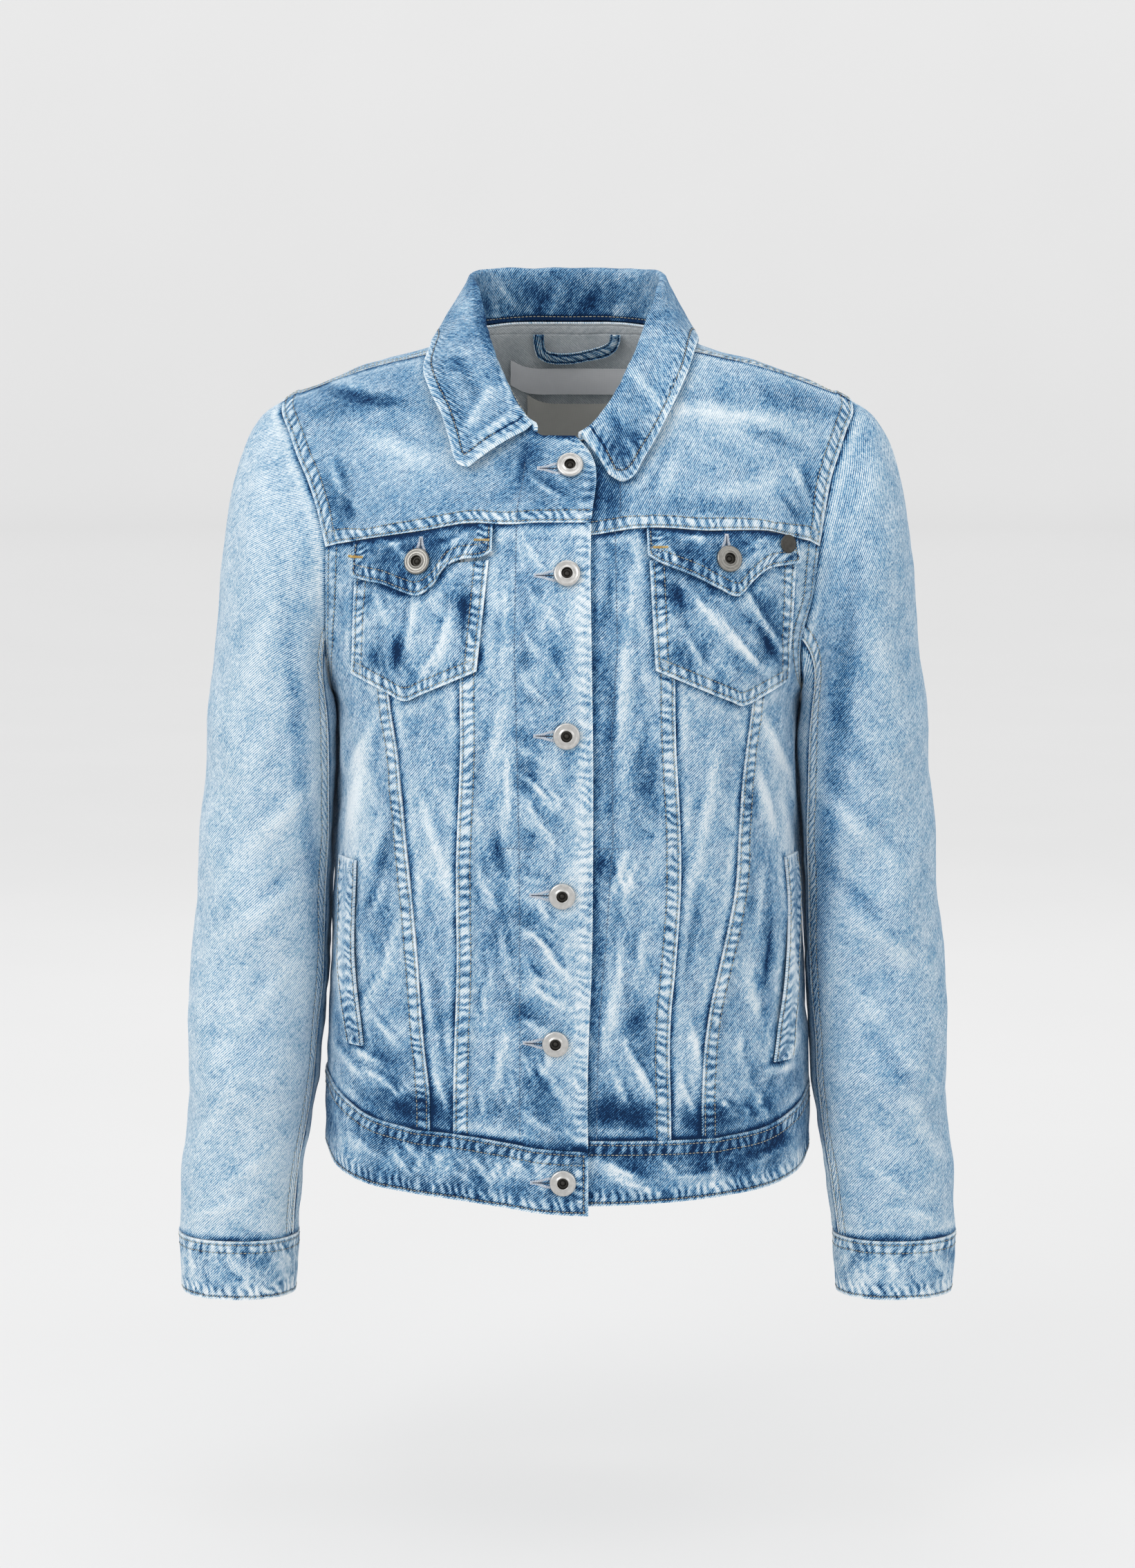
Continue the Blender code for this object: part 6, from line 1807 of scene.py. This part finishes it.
@dataclass
class Surface:
    """All the cloth's outer faces as one, to put things on."""

    shells: list[Shell]

    def __post_init__(self) -> None:
        """Gathers the faces."""
        points, faces, start = [], [], 0
        for shell in self.shells:
            rows, columns = shell.outer.shape[:2]
            at = np.arange(rows * columns).reshape(rows, columns) + start
            points.append(shell.outer.reshape(-1, 3))
            faces.append(quads_of(at))
            start += rows * columns
        corners, cells = np.concatenate(points).tolist(), np.concatenate(faces).tolist()
        self.tree = BVHTree.FromPolygons(corners, cells)

    def line(self, path: Path, toward: float = 1.0) -> Line:
        """Lays a line on the cloth, straight back from the front or forward from behind.

        Args:
            path: its places across and up.
            toward: 1 to look from the front, -1 from behind.

        Returns:
            The line.
        """
        corners = np.array(path, dtype=float)
        far = lengths(corners, 0)
        at = np.linspace(0, far[-1], max(2, int(far[-1] / LAY_STEP)))
        places, ups = [], []
        for x, z in zip(np.interp(at, far, corners[:, 0]), np.interp(at, far, corners[:, 1])):
            start = Vector((x, -LAY_FROM * toward, z))
            place, up, _, _ = self.tree.ray_cast(start, Vector((0, toward, 0)))
            if place is not None:
                places.append(place)
                ups.append(up if up.y * toward < 0 else -up)
        return Line(np.array(places), np.array(ups))


@dataclass(frozen=True)
class Buttonhole:
    """A worked buttonhole: bars round a slit that opens into an eye beside the button."""

    x: float
    z: float
    turn: float = 180.0
    reach: float = 21.0
    outline: Path = (
        (1.0, 0.35), (0.86, 0.6), (0.72, 1.0), (0.6, 1.9), (0.48, 2.6), (0.36, 2.9), (0.2, 2.9),
    )

    def path(self, *places: tuple[float, float]) -> Path:
        """Turns places along and off the slit into places across and up."""
        angle = math.radians(self.turn)
        along, up = math.cos(angle), math.sin(angle)
        return tuple(
            (self.x + run * along - off * up, self.z + run * up + off * along)
            for run, off in places
        )

    def sides(self) -> list[Path]:
        """Gives its two rows of bars."""
        return [
            self.path(*((share * self.reach, side * off) for share, off in self.outline))
            for side in (1, -1)
        ]

    def slit(self) -> Path:
        """Gives the slit between the bars."""
        return self.path((0.92 * self.reach, 0.0), (0.42 * self.reach, 0.0))


# --- Metal ---

BUTTON_PROFILE: Path = (
    (0.0, 0.0), (0.86, 0.0), (0.97, 0.10), (1.0, 0.34), (0.985, 0.60), (0.94, 0.80), (0.87, 0.90),
    (0.80, 0.88), (0.72, 0.80), (0.62, 0.76), (0.55, 0.80), (0.50, 0.93), (0.46, 1.0), (0.42, 0.96),
    (0.395, 0.80), (0.385, 0.40), (0.36, 0.26), (0.24, 0.24), (0.19, 0.42), (0.10, 0.60),
    (0.0, 0.66),
)
STUD_PROFILE: Path = (
    (0.0, 0.0), (0.86, 0.0), (0.97, 0.14), (1.0, 0.40), (0.97, 0.66), (0.90, 0.84), (0.80, 0.88),
    (0.74, 0.82), (0.66, 0.80), (0.40, 0.86), (0.0, 0.90),
)
# The profile's first point in the hollow, which takes painted shade, and the middles of the wrists and of the body.
HOLLOW_FROM = 14
WRIST, CHEST_BACK = 215.0, 200.0


@dataclass
class Fastener:
    """A tack button or stud, turned to a profile in the place of its solid."""

    node: str
    slot: str
    profile: Path = BUTTON_PROFILE
    around: int = 56

    def axes(self, points: np.ndarray) -> Faces:
        """Finds the solid's middle and the way it faces, out from what the jacket wraps round."""
        middle = (points.min(axis=0) + points.max(axis=0)) / 2
        for _ in range(8):
            middle = middle + (points - middle).mean(axis=0) * 0.5
        out = np.linalg.svd(points - middle, full_matrices=False)[2][2]
        side = WRIST * math.copysign(1, middle[0]) if self.node.startswith("button_cuff") else 0.0
        hub = np.array([side, 0.0 if side else CHEST_BACK, middle[2]])
        return middle, out if out @ (middle - hub) > 0 else -out

    def build(self, solid: Thing, finishes: tuple[Finish, ...]) -> Thing:
        """Makes the fastener.

        Args:
            solid: the frame's solid.
            finishes: the materials of its face and its hollow; a button's hollow is painted shade.

        Returns:
            The finished piece.
        """
        points = np.array([vertex.co for vertex in solid.data.vertices]) / MM
        middle, out = self.axes(points)
        height = (points - middle) @ out
        low, high = height.min(), height.max()
        flat = points - middle - height[:, None] * out
        middle = middle + (flat.min(axis=0) + flat.max(axis=0)) / 2
        radius = np.linalg.norm(flat, axis=1).max()
        right = np.cross((0.0, 0.0, 1.0), out)
        right /= np.linalg.norm(right)
        top = np.cross(out, right)
        rings, count = len(self.profile), self.around
        angle = np.arange(count) * 2 * math.pi / count
        spoke = np.cos(angle)[:, None] * right + np.sin(angle)[:, None] * top
        places = [middle + (low + self.profile[0][1] * (high - low)) * out]
        for share, rise in self.profile[1:-1]:
            places.extend(middle + share * radius * spoke + (low + rise * (high - low)) * out)
        places.append(middle + (low + self.profile[-1][1] * (high - low)) * out)
        faces, slots = [], []
        for k in range(count):
            n = (k + 1) % count
            faces.append((0, 1 + n, 1 + k))
            slots.append(0)
            for ring in range(rings - 3):
                a, b = 1 + ring * count, 1 + (ring + 1) * count
                faces.append((a + k, a + n, b + n, b + k))
                slots.append(int(ring + 2 >= HOLLOW_FROM))
            last = 1 + (rings - 3) * count
            faces.append((last + k, last + n, len(places) - 1))
            slots.append(int(rings > HOLLOW_FROM))
        mesh = bpy.data.meshes.new("metal_" + self.node)
        mesh.from_pydata([tuple(place * MM) for place in places], [], faces)
        for finish in finishes:
            mesh.materials.append(finish)
        mesh.polygons.foreach_set("material_index", np.array(slots, dtype=np.int32))
        mesh.update()
        mesh.shade_smooth()
        mesh.set_sharp_from_angle(angle=math.radians(50))
        thing = riding("metal_" + self.node, mesh, self.slot, self.node)
        LOG.info("%s: radius %.1f mm, %.1f mm deep", thing.name, radius, high - low)
        return thing


# --- The jacket ---

def double(
    border: Border, near: float = 2.0, far: float = 9.0, end: float = 1.5
) -> tuple[Row, Row]:
    """Gives the two rows of stitches beside a felled border."""
    return Row(border, near, end=end), Row(border, far, end=end)


T, BO, L, R = Border.TOP, Border.BOTTOM, Border.LEFT, Border.RIGHT
FELL, HEM, UNDER, PLAIN = Edge.FELL, Edge.HEM, Edge.UNDER, Edge.PLAIN
SWAP: dict[Border, Border] = {L: R, R: L, T: T, BO: BO}


def pair(
    stem: str, zones: tuple[Zone, ...], edges: tuple[Edge, Edge, Edge, Edge],
    rows: tuple[Row, ...], washes: tuple[Wash, Wash], below: str = "", turn_rows: bool = True,
    **rest: object,
) -> list[ClothPiece]:
    """Lists the right and the left one of two matching pieces.

    Args:
        stem: their nodes' name without the side.
        zones: where their creases lie.
        edges: how the right one's top, bottom, left and right border are sewn.
        rows: the right one's stitches.
        washes: the wash of each.
        below: the stem of the nodes that continue them downward, if any.
        turn_rows: whether the left one's rows change sides too.
        rest: what else both have.

    Returns:
        The two pieces.
    """
    top, bottom, left, right = edges
    turned = tuple(replace(row, border=SWAP[row.border]) for row in rows) if turn_rows else rows
    made = []
    for side, ends, lines, wash in (
        ("right", (left, right), rows, washes[0]), ("left", (right, left), turned, washes[1])
    ):
        under = f"{below}_{side}" if below else ""
        made.append(ClothPiece(
            f"{stem}_{side}", zones, top, bottom, *ends, lines, wash, below=under, **rest
        ))
    return made


def panels() -> list[ClothPiece]:
    """Lists the denim pieces, each with its seams, its stitches and its wash."""
    body, back, cap = (Zone.FRONT,), (Zone.BACK,), (Zone.SLEEVE_FRONT, Zone.SLEEVE_BACK)
    even = (Wash(marble=0.5), Wash(marble=0.5))
    hems = (HEM, HEM, HEM, HEM)
    side_rows = double(R) + double(L, 3.0, 10.0, end=285)
    cuff_rows = double(T, 2.5, 8.0) + (Row(BO, 2.2), Row(L, 2.5), Row(R, 2.5))
    pocket_rows = double(L, 2.7) + double(R, 2.7) + double(BO, 2.7)
    flap_rows = double(BO, 2.2, 8.5) + (Row(L, 2.2), Row(R, 2.2))
    yoke_rows = double(BO) + double(L, 3.0, 10.0) + double(R, 3.0, 10.0) + double(T)
    band_rows = double(T, 2.5, 9.0) + (Row(BO, 2.2), Row(L, 3.0), Row(R, 3.0))
    collar_rows = (
        Row(BO, 7.0, 6.0, 6.0), Row(L, 7.0, 30.0, 7.0), Row(R, 7.0, 30.0, 7.0), Row(T, 2.5)
    )
    return [
        *pair("yoke_front", body, (UNDER, FELL, FELL, HEM), double(BO) + double(L, 3.0, 10.0),
              (Wash(-0.03, 0.15), Wash(0.03, 0.25))),
        ClothPiece("yoke_back", back, FELL, FELL, FELL, FELL, yoke_rows, Wash(0.0, 0.3)),
        *pair("front_centre", body, (UNDER, UNDER, FELL, HEM), double(L, 2.0, 9.5),
              (Wash(0.0, 0.6), Wash(-0.02, 0.6))),
        *pair("front_wedge", body, (UNDER,) * 4, (), (Wash(-0.01, 0.5), Wash(0.0, 0.5))),
        *pair("front_side", body, (UNDER, UNDER, PLAIN, FELL), side_rows,
              (Wash(-0.01, 0.5), Wash(-0.01, 0.5))),
        *pair("back_side", back, (UNDER, UNDER, UNDER, PLAIN), double(R, 3.0, 10.0, end=270), even),
        ClothPiece("back_centre", back, UNDER, UNDER, FELL, FELL, double(L) + double(R), even[0]),
        ClothPiece("waistband", (Zone.FRONT, Zone.BACK), FELL, HEM, HEM, HEM, band_rows,
                   Wash(-0.14, 0.8), double=True),
        # The left sleeve's top has a darker base tone than the right's: painted shade of the sleeve away from the key
        # light.
        *pair("sleeve_top", cap, (UNDER, UNDER, FELL, FELL), double(L) + double(R),
              (Wash(0.15, 0.15, crease_wear_and_shade=0.12), Wash(0.07, 0.2, crease_wear_and_shade=0.14)),
              "sleeve_fore", turn_rows=False),
        *pair("sleeve_under", cap, (UNDER,) * 4, (),
              (Wash(0.08, 0.15, crease_wear_and_shade=0.09), Wash(0.08, 0.15, crease_wear_and_shade=0.09))),
        *pair("cuff", cap, (FELL, HEM, HEM, HEM), cuff_rows, (Wash(0.02, 1.2), Wash(0.01, 1.1)),
              turn_rows=False, double=True),
        *pair("pocket", body, (PLAIN, HEM, HEM, HEM), pocket_rows,
              (Wash(-0.04, 0.7), Wash(-0.07, 0.7)), turn_rows=False, cell=3.0),
        *pair("flap", body, (UNDER, HEM, HEM, HEM), flap_rows,
              (Wash(-0.24, 0.7), Wash(-0.18, 0.7)), turn_rows=False, double=True, cell=2.4),
        *pair("welt", body, hems, (Row(L, 1.6), Row(R, 1.6)), even,
              turn_rows=False, double=True, cell=2.4),
        ClothPiece("hanger_loop", (), HEM, HEM, PLAIN, PLAIN, (Row(T, 1.2), Row(BO, 1.2)),
                   Wash(-0.14, 0.4), double=True, cell=1.5),
        Collar("collar", (Zone.COLLAR,), UNDER, HEM, HEM, HEM, collar_rows, Wash(-0.07, 0.4),
               double=True, cell=3.0),
    ]


# Pieces whose borders cast painted shadow on the cloth beside them, and which borders do.
COVERS: dict[str, tuple[Border, ...]] = {
    "flap_right": (BO, L, R), "flap_left": (BO, L, R), "pocket_right": (BO, L, R),
    "pocket_left": (BO, L, R), "welt_right": (L, R, BO), "welt_left": (L, R, BO),
    "collar": (BO, L, R), "front_centre_right": (R,), "yoke_front_right": (R,),
}
NEVER_COVERED = ("sleeve", "cuff", "flap", "collar", "welt")
FACING_RIGHT: Path = (
    (-27.0, -72.0), (-28.7, -84.0), (-31.7, -98.0), (-32.5, -110.0), (-33.7, -187.0),
    (-32.0, -257.0), (-30.8, -315.0), (-30.5, -392.0), (-30.8, -506.0),
)
FACING_LEFT: Path = (
    (33.6, -84.0), (33.6, -102.0), (30.3, -114.0), (31.5, -187.0), (28.0, -240.0), (29.0, -309.0),
    (27.3, -333.0), (24.3, -381.0), (22.0, -405.0), (20.0, -435.0), (19.0, -478.0), (18.7, -506.0),
)
BUTTONHOLES: tuple[Buttonhole, ...] = (
    Buttonhole(1.5, -75.2), Buttonhole(-0.4, -141.4), Buttonhole(-0.7, -242.2),
    Buttonhole(-3.5, -344.9), Buttonhole(-7.8, -441.9), Buttonhole(-3.1, -533.3),
    Buttonhole(-93.9, -135.1, 88.0, 17.0), Buttonhole(101.0, -133.6, 88.0, 17.0),
)
FACING_BARS = (((-42.0, -315.0), (-22.0, -315.0)), ((16.0, -315.0), (36.0, -315.0)))
BAR_TACKS: Path = ((-136.0, -132.0), (-54.5, -119.5), (59.0, -124.0))
# Half a bar tack's length, and how far from an overlying edge the painted shadow starts.
TACK_HALF, COVER_START = 5, 1.6


@dataclass
class Jacket:
    """The whole jacket over its frame."""

    nodes: Solids
    shells: list[Shell] = field(default_factory=list)

    def cloth(self) -> None:
        """Makes every denim piece and sews them."""
        face, reverse = RIGHT_SIDE.material(), WRONG_SIDE.material()
        pieces = panels()
        self.shells = [piece.shell(self.nodes) for piece in pieces]
        self.covers(pieces)
        for piece, shell in zip(pieces, self.shells):
            piece.dress(shell, face, reverse)
        self.sewing(pieces)

    def covers(self, pieces: list[ClothPiece]) -> None:
        """Marks the cloth beside the edges of what lies on top of it, where shadow is painted.

        Args:
            pieces: the cloth pieces, in the order of the shells.
        """
        for name, borders in COVERS.items():
            top = next(shell for shell in self.shells if shell.name == name)
            edge = np.concatenate([top.line(border, 0.2, 0.0, 0.0).points for border in borders])
            for piece, shell in zip(pieces, self.shells):
                if shell is top or piece.node.startswith(NEVER_COVERED):
                    continue
                gap = np.full(shell.outer.shape[:2], FAR_OFF)
                for point in edge[:: 1 if len(edge) < 250 else 2]:
                    gap = np.minimum(gap, np.linalg.norm(shell.outer - point, axis=-1))
                beyond = np.maximum(gap - COVER_START, 0)
                shell.seam[..., 2] = np.minimum(shell.seam[..., 2], beyond)

    def sewing(self, pieces: list[ClothPiece]) -> None:
        """Lays the rows of stitches, the bars of the buttonholes, painted shade in their slits and the bar tacks.

        Args:
            pieces: the cloth pieces, in the order of the shells.
        """
        seams = {name: Stitches(name, SEWING) for name in ("front", "back", "sleeves")}
        for piece, shell in zip(pieces, self.shells):
            part = "sleeves" if Zone.SLEEVE_FRONT in piece.zones else "front"
            part = "back" if piece.zones in ((Zone.BACK,), (Zone.COLLAR,)) else part
            for row in piece.rows:
                seams[part].sew(shell.line(row.border, row.distance, row.start, row.end))
        surface = Surface(self.shells)
        facing = Stitches("facing", BLUE, 2.0, 0.85)
        for path in (FACING_RIGHT, FACING_LEFT, *FACING_BARS):
            facing.sew(surface.line(path))
        # The slits get near-black stitches: painted shade.
        holes, slit_shades = Stitches("buttonholes", LILAC, 2.2, 0.5), Stitches("slit_shades", SLIT_SHADE, 1.4, 0.9)
        for hole in BUTTONHOLES:
            for path in hole.sides():
                holes.sew(surface.line(path), 0.62, across=True, lift=0.2)
            slit_shades.sew(surface.line(hole.slit()), 0.7, lift=0.15)
        tacks = Stitches("bar_tacks", TACKS, 2.0, 0.5)
        for x, z in BAR_TACKS:
            path = ((x - TACK_HALF, z), (x + TACK_HALF, z))
            tacks.sew(surface.line(path), 0.6, across=True, lift=0.2)
        for row in (*seams.values(), facing, holes, slit_shades, tacks):
            row.build("denim")

    def metal(self) -> None:
        """Makes the buttons and the stud."""
        bright, nickel = BRIGHT.material(), NICKEL.material()
        hollow, dark = SHADED.material(), STUD.material()
        for name in sorted(self.nodes):
            if name.startswith("button"):
                face = bright if "front" in name else nickel
                Fastener(name, "nickel").build(self.nodes[name], (face, hollow))
        stud = Fastener("flap_stud", "dark_metal", STUD_PROFILE)
        stud.build(self.nodes["flap_stud"], (dark, dark))

    def labels(self) -> None:
        """Makes the two bare labels with their stitched edges."""
        for name, tape, slot in (("neck_label", WHITE_TAPE, "label_white"),
                                 ("size_label", CREAM_TAPE, "label_cream")):
            piece = ClothPiece(name, (), wash=Wash(crumple=0.1), cell=2.5, double=True)
            shell = piece.shell(self.nodes)
            thing = piece.dress(shell, tape.material(), tape.material())
            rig.slot(thing, slot)
            edge = Stitches("edge_of_" + name, SEWING, 1.8, 0.4)
            for border in Border:
                edge.sew(shell.line(border, 1.3), 2.2)
            edge.build(slot)


@dataclass
class Studio:
    """The pale floor, the soft lights and the camera."""

    target: Triple = (0.0, 0.0, -0.289)
    distance: float = 2.8
    elevation: float = 7.0
    lens: float = 96.6
    floor: float = -0.78
    reach: float = 7.0
    climb: float = 3.0
    rings: int = 26
    around: int = 72

    def build(self) -> None:
        """Sets up the whole studio."""
        self.sweep()
        self.light("key", (-2.0, -2.2, 1.2), 1.6, 34.0)
        self.light("fill", (1.9, -2.0, 0.5), 1.8, 9.0)
        self.light("above", (0.0, -0.3, 2.2), 2.0, 12.0)
        self.light("behind", (0.0, 2.2, 1.0), 2.0, 8.0)
        world = bpy.data.worlds.new("pale_room")
        world.use_nodes = True
        background = world.node_tree.nodes["Background"]
        background.inputs["Color"].default_value = (1.0, 1.0, 1.0, 1.0)
        background.inputs["Strength"].default_value = 0.8
        bpy.context.scene.world = world
        bpy.context.scene.view_settings.view_transform = "Standard"
        self.camera()

    def sweep(self) -> None:
        """Makes the floor, which curves up into a pale wall on every side."""
        rings, around = self.rings, self.around
        points, faces = [(0.0, 0.0, self.floor)], []
        for ring in range(1, rings):
            share = ring / (rings - 1)
            reach = self.reach * min(1.0, 1.6 * share)
            height = self.floor + self.climb * max(0.0, share - 0.5) ** 2 * 4
            for k in range(around):
                angle = 2 * math.pi * k / around
                points.append((reach * math.cos(angle), reach * math.sin(angle), height))
        for k in range(around):
            n = (k + 1) % around
            faces.append((0, 1 + k, 1 + n))
            for ring in range(rings - 2):
                a, b = 1 + ring * around, 1 + (ring + 1) * around
                faces.append((a + k, b + k, b + n, a + n))
        mesh = bpy.data.meshes.new("floor")
        mesh.from_pydata(points, [], faces)
        mesh.shade_smooth()
        weave = Weave("pale_floor")
        place = weave.on_object()
        level = weave.maths("ADD", weave.total((weave.noise(place, 3.0, 2.0), 1.0)), 0.5)
        colour = weave.ramp(level, ((0.0, (0.36, 0.36, 0.36)), (1.0, (0.37, 0.37, 0.37))))
        height = weave.vector("DOT_PRODUCT", place, (0.0, 0.0, 1.0))
        glow = weave.maths("MULTIPLY_ADD", height, 0.12, 1.3)
        mesh.materials.append(weave.finish(
            base_color=colour, roughness=0.95, emission_color=colour, emission_strength=glow
        ))
        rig.stage(placed("floor", mesh))

    def light(self, name: str, place: Triple, size: float, power: float) -> None:
        """Adds a soft square light that shines at the jacket.

        Args:
            name: its name.
            place: where it stands, in metres.
            size: its side in metres.
            power: its power in watts.
        """
        data = bpy.data.lights.new(name, "AREA")
        data.size, data.energy = size, power
        thing = placed(name, data)
        thing.location = place
        aim = Vector(self.target) - Vector(place)
        thing.rotation_euler = aim.to_track_quat("-Z", "Y").to_euler()

    def camera(self) -> None:
        """Adds the camera at the jacket's front, a little above its middle."""
        data = bpy.data.cameras.new("camera")
        data.lens, data.sensor_width, data.clip_end = self.lens, 36.0, 60.0
        thing = placed("camera", data)
        tilt = math.radians(self.elevation)
        x, y, z = self.target
        thing.location = (x, y - self.distance * math.cos(tilt), z + self.distance * math.sin(tilt))
        thing.rotation_euler = (math.pi / 2 - tilt, 0.0, 0.0)
        bpy.context.scene.camera = thing


def main() -> None:
    """Dresses the jacket and sets up the studio."""
    logging.basicConfig(level=logging.INFO, format="%(message)s")
    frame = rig.load()
    before = [list(corner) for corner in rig.bounds()]
    jacket = Jacket(frame["nodes"])
    jacket.cloth()
    jacket.metal()
    jacket.labels()
    Studio().build()
    with open(SIZE_FILE, "w", encoding="utf-8") as file:
        json.dump({"cad": before, "visual": [list(corner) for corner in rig.bounds()]}, file)


if __name__ == "__main__":
    main()
